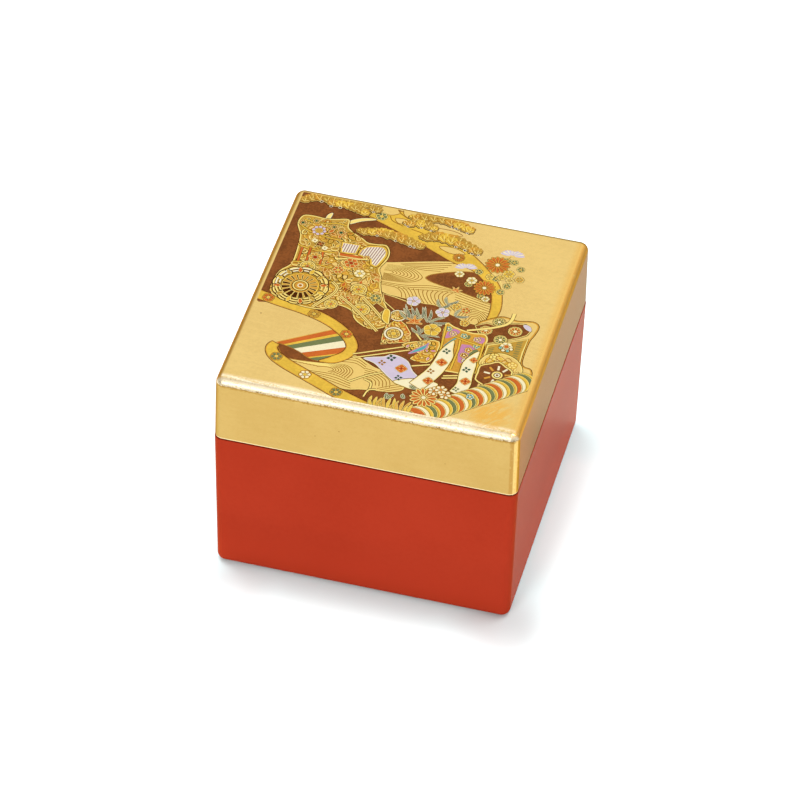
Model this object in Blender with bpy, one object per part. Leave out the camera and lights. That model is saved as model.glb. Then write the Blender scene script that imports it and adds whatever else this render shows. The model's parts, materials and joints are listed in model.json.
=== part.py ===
"""Square lacquered storage box with a lift-off lid.

The lower box is a hollow wooden vessel in red lacquer. Its wall ends in a flat shoulder,
and a thin lip stands up inside the shoulder. The lid is a hollow cap in gold lacquer. Its
skirt is rebated on the inside, drops over the lip and comes down on the shoulder, so that
the two outer faces meet in one line. Both pieces taper away from that line.

Metres, +Z up. The origin is the middle of the underside. +Y is the back.
"""

import math

import bmesh
import bpy

# Outside of the box, measured where the lid meets the lower box
WIDTH = 0.1000
DEPTH = 0.1000
BODY_HEIGHT = 0.0552
LID_HEIGHT = 0.0248

# How far each outer face leans in for each unit of height, away from the seam
BODY_DRAFT = 0.0124
LID_DRAFT = 0.0107

# Walls
BODY_WALL = 0.0040
BODY_FLOOR = 0.0040
LID_WALL = 0.0036
LID_TOP = 0.0038

# The lip inside the shoulder, and how the lid sits on it
LIP_HEIGHT = 0.0060
LIP_THICKNESS = 0.0017
LID_CLEARANCE = 0.0003
SEAM_GAP = 0.0003
SHOULDER_REVEAL = 0.0001

# Roundings
CORNER_RADIUS = 0.0030
BODY_FOOT_RADIUS = 0.0027
LID_TOP_RADIUS = 0.0026
SHOULDER_RADIUS = 0.0004
LID_RIM_RADIUS = 0.0005
LIP_RADIUS = 0.0005
INSIDE_CORNER_RADIUS = 0.0020
INSIDE_EDGE_RADIUS = 0.0015

# Facets in each rounding
CORNER_SEGMENTS = 8
LARGE_EDGE_SEGMENTS = 7
SMALL_EDGE_SEGMENTS = 3
INSIDE_SEGMENTS = 4

# A rounding takes at most this share of the rounding that it runs into
FILLET_SHARE = 0.95
# How far a cutter runs past the face that it opens
CUT_OVERRUN = 0.0020
# How far the lip's foot is buried in the wall below the shoulder
LIP_ROOT = 0.0020

SHARP_ANGLE = math.radians(28)

# Colour, roughness and metallic value of each piece's lacquer
RED_LACQUER = ((0.480, 0.040, 0.018), 0.22, 0.0)
GOLD_LACQUER = ((0.780, 0.520, 0.160), 0.30, 0.75)


def clear_scene():
    for thing in list(bpy.data.objects):
        bpy.data.objects.remove(thing, do_unlink=True)


def new_collection(name):
    collection = bpy.data.collections.new(name)
    bpy.context.scene.collection.children.link(collection)
    return collection


def lacquer(name, finish):
    colour, roughness, metallic = finish
    material = bpy.data.materials.new(name)
    material.use_nodes = True
    shader = material.node_tree.nodes["Principled BSDF"]
    shader.inputs["Base Color"].default_value = (*colour, 1.0)
    shader.inputs["Roughness"].default_value = roughness
    shader.inputs["Metallic"].default_value = metallic
    shader.inputs["Coat Weight"].default_value = 0.6
    return material


def round_edges(mesh, chosen, radius, segments):
    edges = [edge for edge in mesh.edges if chosen(edge)]
    bmesh.ops.bevel(
        mesh,
        geom=edges,
        offset=radius,
        offset_type="OFFSET",
        segments=segments,
        profile=0.5,
        affect="EDGES",
        clamp_overlap=False,
    )


def flat_at(height):
    """True for an edge that lies in the level plane at this height."""

    def chosen(edge):
        return all(abs(vertex.co.z - height) < 1e-7 for vertex in edge.verts)

    return chosen


def upright(edge):
    low, high = sorted(vertex.co.z for vertex in edge.verts)
    return high - low > 1e-7


def tapered_block(name, size_low, size_high, low, high, corner, lower_edge=None, upper_edge=None):
    """A square block between two heights, its four corners and its end edges rounded.

    size_low and size_high are (width, depth) at each end. corner, lower_edge and
    upper_edge are (radius, segments), and an end edge without one stays sharp.
    """
    mesh = bmesh.new()
    bmesh.ops.create_cube(mesh, size=1.0)
    for vertex in mesh.verts:
        width, depth = size_high if vertex.co.z > 0 else size_low
        vertex.co.x *= width
        vertex.co.y *= depth
        vertex.co.z = high if vertex.co.z > 0 else low
    round_edges(mesh, upright, *corner)
    for edge, height in ((lower_edge, low), (upper_edge, high)):
        if edge is not None:
            radius, segments = edge
            largest = FILLET_SHARE * corner[0]
            round_edges(mesh, flat_at(height), min(radius, largest), segments)
    bmesh.ops.recalc_face_normals(mesh, faces=mesh.faces)
    data = bpy.data.meshes.new(name)
    mesh.to_mesh(data)
    mesh.free()
    return bpy.data.objects.new(name, data)


def apply_boolean(target, tool, operation, cutters):
    cutters.objects.link(tool)
    tool.hide_render = True
    tool.display_type = "WIRE"
    boolean = target.modifiers.new(tool.name, "BOOLEAN")
    boolean.operation = operation
    boolean.solver = "EXACT"
    boolean.object = tool


def footprint(inset):
    """Width and depth of a block whose sides stand this far inside the seam's outline."""
    return WIDTH - 2 * inset, DEPTH - 2 * inset


def body_inset(height):
    """How far the lower box's outer face has leaned in at a height above the floor."""
    return BODY_DRAFT * (BODY_HEIGHT - height)


def lid_inset(height):
    """How far the lid's outer face stands in from the seam's outline at a height."""
    return SHOULDER_REVEAL + LID_DRAFT * (height - LID_BOTTOM)


LID_BOTTOM = BODY_HEIGHT + SEAM_GAP
LID_UNDERSIDE = LID_BOTTOM + LID_HEIGHT - LID_TOP
LIP_TOP = BODY_HEIGHT + LIP_HEIGHT
LIP_INSET = BODY_WALL - LIP_THICKNESS
REBATE_TOP = LIP_TOP + LID_CLEARANCE
TOTAL_HEIGHT = LID_BOTTOM + LID_HEIGHT


def build_body(parts, cutters):
    corner = (CORNER_RADIUS, CORNER_SEGMENTS)
    body = tapered_block(
        "box_body",
        footprint(body_inset(0.0)),
        footprint(0.0),
        0.0,
        BODY_HEIGHT,
        corner,
        lower_edge=(BODY_FOOT_RADIUS, LARGE_EDGE_SEGMENTS),
        upper_edge=(SHOULDER_RADIUS, SMALL_EDGE_SEGMENTS),
    )
    parts.objects.link(body)
    body.data.materials.append(lacquer("red_lacquer", RED_LACQUER))

    lip_corner = max(CORNER_RADIUS - LIP_INSET, INSIDE_CORNER_RADIUS)
    lip = tapered_block(
        "lip_block",
        footprint(LIP_INSET),
        footprint(LIP_INSET),
        BODY_HEIGHT - LIP_ROOT,
        LIP_TOP,
        (lip_corner, INSIDE_SEGMENTS),
        upper_edge=(LIP_RADIUS, SMALL_EDGE_SEGMENTS),
    )
    apply_boolean(body, lip, "UNION", cutters)

    cavity_top = LIP_TOP + CUT_OVERRUN
    cavity = tapered_block(
        "body_cavity",
        footprint(BODY_WALL + body_inset(BODY_FLOOR)),
        footprint(BODY_WALL + body_inset(cavity_top)),
        BODY_FLOOR,
        cavity_top,
        (INSIDE_CORNER_RADIUS, INSIDE_SEGMENTS),
        lower_edge=(INSIDE_EDGE_RADIUS, INSIDE_SEGMENTS),
    )
    apply_boolean(body, cavity, "DIFFERENCE", cutters)
    return body


def build_lid(parts, cutters):
    corner = (CORNER_RADIUS, CORNER_SEGMENTS)
    lid = tapered_block(
        "box_lid",
        footprint(lid_inset(LID_BOTTOM)),
        footprint(lid_inset(TOTAL_HEIGHT)),
        LID_BOTTOM,
        TOTAL_HEIGHT,
        corner,
        lower_edge=(LID_RIM_RADIUS, SMALL_EDGE_SEGMENTS),
        upper_edge=(LID_TOP_RADIUS, LARGE_EDGE_SEGMENTS),
    )
    parts.objects.link(lid)
    lid.data.materials.append(lacquer("gold_lacquer", GOLD_LACQUER))

    rebate_inset = LIP_INSET - LID_CLEARANCE
    rebate = tapered_block(
        "lid_rebate",
        footprint(rebate_inset),
        footprint(rebate_inset),
        LID_BOTTOM - CUT_OVERRUN,
        REBATE_TOP,
        (INSIDE_CORNER_RADIUS, INSIDE_SEGMENTS),
    )
    apply_boolean(lid, rebate, "DIFFERENCE", cutters)

    cavity_bottom = LID_BOTTOM - CUT_OVERRUN
    cavity = tapered_block(
        "lid_cavity",
        footprint(LID_WALL + lid_inset(cavity_bottom)),
        footprint(LID_WALL + lid_inset(LID_UNDERSIDE)),
        cavity_bottom,
        LID_UNDERSIDE,
        (INSIDE_CORNER_RADIUS, INSIDE_SEGMENTS),
        upper_edge=(INSIDE_EDGE_RADIUS, INSIDE_SEGMENTS),
    )
    apply_boolean(lid, cavity, "DIFFERENCE", cutters)
    return lid


def shade(part):
    part.data.shade_smooth()
    part.data.set_sharp_from_angle(angle=SHARP_ANGLE)


def main():
    clear_scene()
    parts = new_collection("lacquer_storage_box")
    cutters = new_collection("cutters")
    for part in (build_body(parts, cutters), build_lid(parts, cutters)):
        shade(part)


main()
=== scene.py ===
"""Finished look of a square lacquered storage box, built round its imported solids.

The gold lid and the red lower box are modelled again as smooth shells with the solids'
own sizes. The picture on the lid is one flat skin of paint: every brush shape is laid
down in order, the shapes are cut into one plane, and each facet takes the paint that was
laid last. Nothing in the picture stands up from the lid.

Metres, +Z up, +Y to the back, unless a name ends in MM. The picture is drawn in
millimetres from the middle of the lid.
"""

import json
import logging
import math
import random
from collections.abc import Callable, Iterable, Sequence
from dataclasses import dataclass, field
from enum import Enum
from typing import Protocol

import bmesh
import bpy
import numpy as np
from mathutils import Matrix, Vector, geometry

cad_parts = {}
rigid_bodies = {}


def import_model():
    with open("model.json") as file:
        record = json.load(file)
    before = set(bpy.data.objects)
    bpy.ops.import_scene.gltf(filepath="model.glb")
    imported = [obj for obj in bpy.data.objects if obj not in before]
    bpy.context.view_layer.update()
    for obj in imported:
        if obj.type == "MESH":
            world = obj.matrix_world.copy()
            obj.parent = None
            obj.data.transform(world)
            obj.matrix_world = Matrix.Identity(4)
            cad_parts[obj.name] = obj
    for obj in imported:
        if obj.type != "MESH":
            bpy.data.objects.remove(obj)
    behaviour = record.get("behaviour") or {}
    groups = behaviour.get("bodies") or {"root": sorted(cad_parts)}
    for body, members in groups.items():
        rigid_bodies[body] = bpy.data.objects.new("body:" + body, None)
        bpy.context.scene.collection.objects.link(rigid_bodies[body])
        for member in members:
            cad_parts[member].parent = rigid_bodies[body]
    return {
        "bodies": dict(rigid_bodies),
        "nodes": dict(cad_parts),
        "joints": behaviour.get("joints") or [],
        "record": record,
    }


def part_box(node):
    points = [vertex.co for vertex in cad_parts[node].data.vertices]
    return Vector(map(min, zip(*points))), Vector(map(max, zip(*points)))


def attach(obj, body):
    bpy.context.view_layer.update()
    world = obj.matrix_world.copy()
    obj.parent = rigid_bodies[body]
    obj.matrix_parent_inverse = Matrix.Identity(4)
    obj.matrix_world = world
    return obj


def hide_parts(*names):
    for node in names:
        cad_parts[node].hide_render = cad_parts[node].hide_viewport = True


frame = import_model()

LOG = logging.getLogger("lacquer_box")
MM = 0.001
# Two heights that are closer than this are the same, in metres
SAME = 1e-6
# Two faces that meet at less than this are shaded as one surface
SMOOTH_BELOW = math.radians(30.0)
# How much brighter than its base colour a matt paint on the lid looks in the studio,
# and the faint white gleam that lies over it
LID_LIGHT = 2.11
LID_GLEAM = 0.0055

Colour = tuple[float, float, float, float]
Point = tuple[float, float]
Path = list[Point]
# A line's width, or its width at each share of the way
Width = float | Callable[[float], float]


def srgb(red: int, green: int, blue: int) -> Colour:
    """Turn a colour as a screen shows it into the linear colour that a shader takes.

    Args:
        red: Red, 0 to 255.
        green: Green, 0 to 255.
        blue: Blue, 0 to 255.

    Returns:
        The linear colour with full alpha.
    """
    shares = (level / 255.0 for level in (red, green, blue))
    linear = [s / 12.92 if s <= 0.04045 else ((s + 0.055) / 1.055) ** 2.4 for s in shares]
    return (linear[0], linear[1], linear[2], 1.0)


# Shader graphs


class Term:
    """A shader socket that takes part in arithmetic."""

    def __init__(self, graph: "Graph", socket: bpy.types.NodeSocket) -> None:
        """Wrap a socket of a graph."""
        self.graph = graph
        self.socket = socket

    def _join(self, operation: str, first: object, second: object) -> "Term":
        """Add a Math node.

        Args:
            operation: The node's operation.
            first: A term or a number.
            second: A term or a number.

        Returns:
            The node's result.
        """
        settings = {"operation": operation}
        node = self.graph.node("ShaderNodeMath", settings, {0: first, 1: second})
        return Term(self.graph, node.outputs[0])

    def __add__(self, other: object) -> "Term":
        """Return self + other."""
        return self._join("ADD", self, other)

    def __radd__(self, other: object) -> "Term":
        """Return other + self."""
        return self._join("ADD", other, self)

    def __sub__(self, other: object) -> "Term":
        """Return self - other."""
        return self._join("SUBTRACT", self, other)

    def __rsub__(self, other: object) -> "Term":
        """Return other - self."""
        return self._join("SUBTRACT", other, self)

    def __mul__(self, other: object) -> "Term":
        """Return self * other."""
        return self._join("MULTIPLY", self, other)

    def __rmul__(self, other: object) -> "Term":
        """Return other * self."""
        return self._join("MULTIPLY", other, self)

    def size(self) -> "Term":
        """Return the value without its sign."""
        return self._join("ABSOLUTE", self, 0.0)

    def most(self, other: object) -> "Term":
        """Return the greater of two values."""
        return self._join("MAXIMUM", self, other)

    def fade(self, start: float, end: float) -> "Term":
        """Rise smoothly from 0 at one value to 1 at another.

        Args:
            start: The value that gives 0.
            end: The value that gives 1. It may be the lower one.

        Returns:
            The eased share.
        """
        node = self.graph.node(
            "ShaderNodeMapRange",
            {"interpolation_type": "SMOOTHSTEP"},
            {"Value": self, "From Min": start, "From Max": end},
        )
        return Term(self.graph, node.outputs["Result"])


class Graph:
    """A node tree written as calls."""

    def __init__(self, tree: bpy.types.NodeTree) -> None:
        """Empty a tree and keep it."""
        self.tree = tree
        tree.nodes.clear()

    def node(
        self,
        kind: str,
        settings: dict[str, object] | None = None,
        inputs: dict[str | int, object] | None = None,
    ) -> bpy.types.Node:
        """Add a node.

        Args:
            kind: The node's type.
            settings: Its own settings, set first.
            inputs: Values or links of its sockets, by name or number.

        Returns:
            The node.
        """
        made = self.tree.nodes.new(kind)
        for name, value in (settings or {}).items():
            setattr(made, name, value)
        for key, value in (inputs or {}).items():
            self.feed(made.inputs[key], value)
        return made

    def feed(self, socket: bpy.types.NodeSocket, value: object) -> None:
        """Link a term or a socket to a socket, or set its value.

        Args:
            socket: The socket.
            value: The term or socket to link, or the value to set.
        """
        if isinstance(value, Term):
            value = value.socket
        if isinstance(value, bpy.types.NodeSocket):
            self.tree.links.new(value, socket)
        else:
            socket.default_value = value

    def place(self) -> bpy.types.NodeSocket:
        """Return the object's own coordinates, in metres."""
        return self.node("ShaderNodeTexCoord").outputs["Object"]

    def parts(self, vector: bpy.types.NodeSocket) -> tuple[Term, Term, Term]:
        """Split a vector into its three terms."""
        node = self.node("ShaderNodeSeparateXYZ", inputs={0: vector})
        return tuple(Term(self, output) for output in node.outputs)

    def slope(self) -> tuple[Term, Term, Term]:
        """Return the three parts of the way that the surface faces."""
        return self.parts(self.node("ShaderNodeNewGeometry").outputs["Normal"])

    def distance(self, vector: bpy.types.NodeSocket, middle: tuple[float, float, float]) -> Term:
        """Return how far each place is from a point, in metres."""
        node = self.node("ShaderNodeVectorMath", {"operation": "DISTANCE"}, {0: vector, 1: middle})
        return Term(self, node.outputs["Value"])

    def stretched(
        self,
        vector: bpy.types.NodeSocket,
        scale: tuple[float, float, float],
        turn: float = 0.0,
    ) -> bpy.types.NodeSocket:
        """Turn a vector about the upright axis, then stretch it.

        Args:
            vector: The vector.
            scale: The factor along each axis.
            turn: The angle, in radians.

        Returns:
            The new vector.
        """
        inputs = {"Vector": vector, "Angle": turn}
        turned = self.node("ShaderNodeVectorRotate", {"rotation_type": "Z_AXIS"}, inputs)
        inputs = {0: turned.outputs[0], 1: scale}
        return self.node("ShaderNodeVectorMath", {"operation": "MULTIPLY"}, inputs).outputs[0]

    def noise(
        self,
        vector: bpy.types.NodeSocket,
        scale: float,
        detail: float = 2.0,
        roughness: float = 0.5,
    ) -> Term:
        """Add a soft noise.

        Args:
            vector: Where it is read.
            scale: Its cells in a metre.
            detail: How many finer layers it has.
            roughness: How strong each finer layer is.

        Returns:
            The noise, about 0.5 on average.
        """
        inputs = {"Vector": vector, "Scale": scale, "Detail": detail, "Roughness": roughness}
        return Term(self, self.node("ShaderNodeTexNoise", None, inputs).outputs["Fac"])

    def pinholes(self, vector: bpy.types.NodeSocket, pitch: float, radius: float) -> Term:
        """Strew small dots in space, of which a surface meets a few.

        Args:
            vector: Where they are read.
            pitch: How far apart they stand, in metres.
            radius: Their radius, in metres.

        Returns:
            1 on a dot and 0 elsewhere, with a soft border.
        """
        inputs = {"Vector": vector, "Scale": 1.0 / pitch}
        reach = Term(self, self.node("ShaderNodeTexVoronoi", None, inputs).outputs["Distance"])
        return reach.fade(radius / pitch, 0.6 * radius / pitch)

    def blend(self, share: object, low: object, high: object) -> bpy.types.NodeSocket:
        """Mix two colours.

        Args:
            share: How much of the second, 0 to 1.
            low: The first colour.
            high: The second colour.

        Returns:
            The mixed colour.
        """
        inputs = {0: share, 6: low, 7: high}
        return self.node("ShaderNodeMix", {"data_type": "RGBA"}, inputs).outputs[2]

    def coats(self, colour: object, *coats: tuple[object, Colour]) -> bpy.types.NodeSocket:
        """Lay coats over a colour, one after the other.

        Args:
            colour: The colour below them.
            *coats: Each coat's share and its own colour.

        Returns:
            The colour on top.
        """
        for share, paint in coats:
            colour = self.blend(share, colour, paint)
        return colour

    def relief(self, height: Term, depth: float) -> bpy.types.NodeSocket:
        """Turn a height into a bent normal.

        Args:
            height: The height, 0 to 1.
            depth: How deep 1 is, in metres.

        Returns:
            The normal.
        """
        inputs = {"Height": height, "Distance": depth, "Strength": 1.0}
        return self.node("ShaderNodeBump", None, inputs).outputs["Normal"]


@dataclass(frozen=True)
class Finish:
    """What every lacquer has in common.

    Attributes:
        name: The material's name.
        roughness: How dull the surface is.
        metallic: How far it mirrors like metal.
        ior: How strongly its clear top layer mirrors.
        edge: The tint of what it mirrors at a glancing angle, where it is metallic.
    """

    name: str
    roughness: float = 0.25
    metallic: float = 0.0
    ior: float = 1.15
    edge: Colour = (1.0, 1.0, 1.0, 1.0)

    def material(self) -> bpy.types.Material:
        """Make the material.

        Returns:
            The material, coloured.
        """
        made = bpy.data.materials.new(self.name)
        made.use_nodes = True
        graph = Graph(made.node_tree)
        inputs = {
            "Roughness": self.roughness,
            "Metallic": self.metallic,
            "IOR": self.ior,
            "Specular Tint": self.edge,
        }
        shader = graph.node("ShaderNodeBsdfPrincipled", None, inputs)
        graph.node("ShaderNodeOutputMaterial", None, {0: shader.outputs[0]})
        self.paint(graph, shader)
        return made

    def paint(self, graph: Graph, shader: bpy.types.Node) -> None:
        """Colour the shader. Each finish does this in its own way."""
        raise NotImplementedError


@dataclass(frozen=True)
class GoldLacquer(Finish):
    """Gold leaf under clear lacquer: mottled, with painted highlights and orange-brown painted
    reflections on its edges.

    Attributes:
        leaf: The gold where the leaf is whole.
        worn: The gold where the leaf is thin.
        top: The gold of the lid's flat top, painted paler than the sides for the brighter light that it
            mirrors.
        top_worn: The same where the leaf is thin.
        rub_and_reflection: The orange gold of a patch near the front right corner, also laid along the
            top's right edge as a painted dark reflection.
        side_reflection: The orange gold painted on the top's side roundings as the dark reflection that
            they show.
        corner_reflection: The brown gold painted on the flanks of the right upright corners as a dark
            reflection.
        right_front_light: The lighter, redder gold painted on the right side near the front, standing
            in for the brighter reflection there.
        painted_highlight: The cream gold of the painted highlight on the front edge and its rounding.
        dark_reflection_line: The brown of the thin ragged line painted under the front edge as a dark
            reflection.
        rim: The pale gold painted along the lid's lower edge as a highlight.
        speck: The colour of the pin holes.
        brow: Where the top's painted paler gold begins and ends, in metres above the ground.
        foot: Where that painted highlight ends and begins.
        patch: The middle of the orange patch.
    """

    leaf: Colour = (0.446, 0.307, 0.097, 1.0)
    worn: Colour = (0.414, 0.277, 0.082, 1.0)
    top: Colour = (0.685, 0.485, 0.170, 1.0)
    top_worn: Colour = (0.632, 0.437, 0.148, 1.0)
    rub_and_reflection: Colour = (0.690, 0.380, 0.070, 1.0)
    side_reflection: Colour = (0.640, 0.340, 0.075, 1.0)
    right_front_light: Colour = (0.620, 0.360, 0.100, 1.0)
    corner_reflection: Colour = (0.370, 0.215, 0.052, 1.0)
    painted_highlight: Colour = (0.960, 0.830, 0.590, 1.0)
    dark_reflection_line: Colour = (0.300, 0.165, 0.030, 1.0)
    rim: Colour = (0.960, 0.780, 0.460, 1.0)
    speck: Colour = (0.200, 0.105, 0.024, 1.0)
    brow: tuple[float, float] = (0.0788, 0.0801)
    foot: tuple[float, float] = (0.0562, 0.0559)
    patch: tuple[float, float, float] = (0.0385, -0.0405, 0.0803)

    def paint(self, graph: Graph, shader: bpy.types.Node) -> None:
        """Colour the leaf.

        Args:
            graph: The material's graph.
            shader: Its shader.
        """
        place = graph.place()
        right, back, height = graph.parts(place)
        across, along, up = graph.slope()
        clouds = graph.noise(place, 38.0, 4.0, 0.55)
        grain = graph.noise(place, 900.0, 2.0, 0.6)
        flecks = graph.noise(place, 1600.0, 3.0, 0.65)
        brush = graph.noise(graph.stretched(place, (60.0, 900.0, 900.0), 0.12), 1.0, 2.0)
        thin = (clouds * 0.5 + grain * 0.3 + brush * 0.2).fade(0.36, 0.66)
        flat = height.fade(*self.brow)
        side = graph.blend(thin, self.leaf, self.worn)
        # Painted light: the right side is painted lighter and redder near the front, for the brighter
        # reflection there
        side = graph.blend(across.fade(0.6, 0.9) * back.fade(-0.015, -0.045), side, self.right_front_light)
        # Painted light: the flat top takes a paler copy of the gold, for the brighter light that it
        # mirrors
        colour = graph.blend(flat, side, graph.blend(thin, self.top, self.top_worn))
        colour = graph.coats(
            colour,
            # Painted highlight on the front edge and the rounding below it
            (self._front_glow(back, along, up, flat, brush, flecks), self.painted_highlight),
            # Orange painted along the top's right edge: a painted dark reflection
            (right.fade(0.0448, 0.0474) * flat * 0.45, self.rub_and_reflection),
            # Orange-brown painted on the side roundings: a painted dark reflection
            (self._side_edges(along, up, height) * grain.fade(0.25, 0.45) * 0.9, self.side_reflection),
        )
        corner = across.most(0.0) * along.size()
        flank = corner.fade(0.06, 0.22) * corner.fade(0.47, 0.40) * up.fade(0.5, 0.2)
        streaks = graph.noise(graph.stretched(place, (900.0, 180.0, 300.0), 0.7), 1.0, 3.0, 0.6)
        patch = graph.distance(place, self.patch).fade(0.0100, 0.003) * streaks.fade(0.34, 0.54)
        colour = graph.coats(
            colour,
            # Painted highlight down the middle of the right upright corners, in the top's paler gold
            (corner.fade(0.43, 0.48) * up.fade(0.9, 0.6) * flecks.fade(0.3, 0.5) * 0.8, self.top),
            # Painted dark reflection on the flanks of those corners
            (flank * grain.fade(0.28, 0.44) * 0.9, self.corner_reflection),
            # Painted dark reflection: a ragged brown line under the front edge
            (self._dark_reflection_line(along, up, height, flecks) * 0.9, self.dark_reflection_line),
            (patch * 0.85, self.rub_and_reflection),
            # Painted highlight along the lid's lower edge
            (height.fade(*self.foot), self.rim),
            (graph.pinholes(place, 0.0095, 0.00032) * 0.75, self.speck),
        )
        rounding = up.fade(0.99, 0.9) * up.fade(0.02, 0.2)
        relief = grain * 0.3 + clouds * 0.5 + flecks * rounding * 2.0
        graph.feed(shader.inputs["Base Color"], colour)
        graph.feed(shader.inputs["Roughness"], grain * 0.10 + rounding * 0.14 + self.roughness)
        graph.feed(shader.inputs["Normal"], graph.relief(relief, 0.00004))

    def _front_glow(
        self, back: Term, along: Term, up: Term, flat: Term, brush: Term, flecks: Term,
    ) -> Term:
        """Find where the highlight is painted: on the front edge and the rounding below it.

        Args:
            back: How far back each place is, in metres.
            along: How far the surface faces back.
            up: How far it faces up.
            flat: Where the flat top is.
            brush: The streaks that the brush left.
            flecks: The finest unevenness.

        Returns:
            The share of painted highlight.
        """
        edge = back.fade(-0.0450, -0.0470) * flat * (brush * 0.5 + flecks * 0.5).fade(0.30, 0.60)
        front = up.fade(0.18, 0.36) * along.fade(-0.1, -0.3) * flecks.fade(0.28, 0.46)
        return edge.most(front * 0.9)

    def _side_edges(self, along: Term, up: Term, height: Term) -> Term:
        """Return where the top's roundings are, apart from the front one."""
        rounding = up.fade(0.985, 0.88) * up.fade(0.25, 0.45)
        return rounding * along.fade(-0.55, -0.15) * height.fade(0.0765, 0.0775)

    def _dark_reflection_line(self, along: Term, up: Term, height: Term, flecks: Term) -> Term:
        """Find the thin ragged line under the front edge, where a dark reflection is painted.

        Args:
            along: How far the surface faces back.
            up: How far it faces up.
            height: How high each place is, in metres.
            flecks: The finest unevenness.

        Returns:
            The share of brown.
        """
        ragged = flecks * 1.4 + up
        line = ragged.fade(0.66, 0.76) * ragged.fade(0.99, 0.89)
        return line * height.fade(0.0774, 0.0776) * along.fade(-0.6, -0.9)


@dataclass(frozen=True)
class RedLacquer(Finish):
    """Vermilion lacquer, polished to a soft even gloss, with a painted shadow line under the lid and
    painted light near the ground.

    Attributes:
        deep: The colour of the thicker coat.
        bright: The colour of the thinner coat.
        shade: The nearly black red painted on the shoulder's edge as the shadow under the lid's rim.
        shoulder: Where that edge begins and ends, in metres above the ground.
        foot: The brighter red painted near the ground, making up for the shade that falls there.
        speck: The colour of specks of dust in the coat.
    """

    deep: Colour = (0.306, 0.0267, 0.0105, 1.0)
    bright: Colour = (0.340, 0.0315, 0.0130, 1.0)
    shade: Colour = (0.120, 0.0080, 0.0020, 1.0)
    shoulder: tuple[float, float] = (0.05520, 0.05536)
    foot: Colour = (0.400, 0.0350, 0.0140, 1.0)
    speck: Colour = (0.180, 0.0160, 0.0070, 1.0)

    def paint(self, graph: Graph, shader: bpy.types.Node) -> None:
        """Colour the coat.

        Args:
            graph: The material's graph.
            shader: Its shader.
        """
        place = graph.place()
        clouds = graph.noise(place, 24.0, 3.0, 0.5)
        grain = graph.noise(place, 700.0, 2.0, 0.5)
        across, along, height = graph.parts(place)
        outside = across.size().most(along.size()).fade(0.0480, 0.0488)
        edge = height.fade(*self.shoulder) * outside
        colour = graph.coats(
            self.deep,
            ((clouds * 0.7 + grain * 0.3).fade(0.3, 0.7), self.bright),
            (graph.pinholes(place, 0.011, 0.0002) * 0.6, self.speck),
            # Painted light: the red is brighter near the ground, making up for the shade there
            (height.fade(0.022, 0.002) * 0.9, self.foot),
            # Painted shadow on the shoulder's edge, under the lid's rim
            (edge, self.shade),
        )
        graph.feed(shader.inputs["Base Color"], colour)
        graph.feed(shader.inputs["Roughness"], grain * 0.05 + edge * 0.5 + self.roughness)
        graph.feed(shader.inputs["Normal"], graph.relief(clouds * 0.8 + grain * 0.2, 0.00002))


@dataclass(frozen=True)
class PaintFinish(Finish):
    """A pigment in lacquer, laid by brush on the lid.

    Attributes:
        colour: The paint's colour.
        unevenness: How far the colour moves about, 0 to 1.
    """

    colour: Colour = srgb(128, 128, 128)
    unevenness: float = 0.0

    def paint(self, graph: Graph, shader: bpy.types.Node) -> None:
        """Colour the paint.

        Args:
            graph: The material's graph.
            shader: Its shader.
        """
        place = graph.place()
        grain = graph.noise(place, 1400.0, 2.0, 0.6)
        if self.unevenness:
            clouds = graph.noise(place, 160.0, 3.0, 0.6)
            share = (clouds * 0.5 + grain * 0.5).fade(0.38, 0.62)
            dark, light = (
                tuple(min(level * factor, 1.0) for level in self.colour[:3]) + (1.0,)
                for factor in (1.0 - self.unevenness, 1.0 + self.unevenness)
            )
            graph.feed(shader.inputs["Base Color"], graph.blend(share, dark, light))
        else:
            graph.feed(shader.inputs["Base Color"], self.colour)
        graph.feed(shader.inputs["Roughness"], grain * 0.1 + self.roughness)
        graph.feed(shader.inputs["Normal"], graph.relief(grain, 0.00002))


class Pigment(Enum):
    """The paints on the lid: colour as seen, then unevenness, roughness and metallic share."""

    BROWN = (135, 80, 42, 0.22, 0.30, 0.0)
    YELLOW = (236, 192, 73, 0.10, 0.35, 0.2)
    PALE_GOLD = (242, 206, 120, 0.04, 0.35, 0.2)
    OLIVE = (202, 158, 66, 0.10, 0.40, 0.2)
    OLD_GOLD = (220, 162, 64, 0.12, 0.40, 0.2)
    LINE_GOLD = (255, 228, 132, 0.0, 0.30, 0.2)
    WAVE = (160, 110, 40, 0.0, 0.40, 0.0)
    INK = (80, 42, 14, 0.0, 0.40, 0.0)
    RUST = (186, 118, 46, 0.0, 0.40, 0.0)
    ORANGE = (208, 108, 50, 0.08, 0.40, 0.0)
    RED = (168, 66, 36, 0.08, 0.40, 0.0)
    CREAM = (250, 238, 196, 0.03, 0.40, 0.0)
    LAVENDER = (214, 200, 218, 0.03, 0.40, 0.0)
    PINK = (204, 138, 172, 0.06, 0.40, 0.0)
    TURQUOISE = (92, 176, 174, 0.06, 0.40, 0.0)
    GREEN = (122, 130, 84, 0.08, 0.40, 0.0)
    DEEP_GREEN = (58, 84, 60, 0.0, 0.40, 0.0)

    def material(self) -> bpy.types.Material:
        """Make this paint's material.

        Returns:
            The material.
        """
        red, green, blue, unevenness, roughness, metallic = self.value
        seen = srgb(red, green, blue)
        light = LID_LIGHT * (1.0 - 0.3 * metallic)
        return PaintFinish(
            name=f"paint_{self.name.lower()}",
            roughness=roughness,
            metallic=metallic,
            ior=1.08,
            colour=tuple(max(level - LID_GLEAM, 0.0) / light for level in seen[:3]) + (1.0,),
            unevenness=unevenness,
        ).material()


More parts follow.
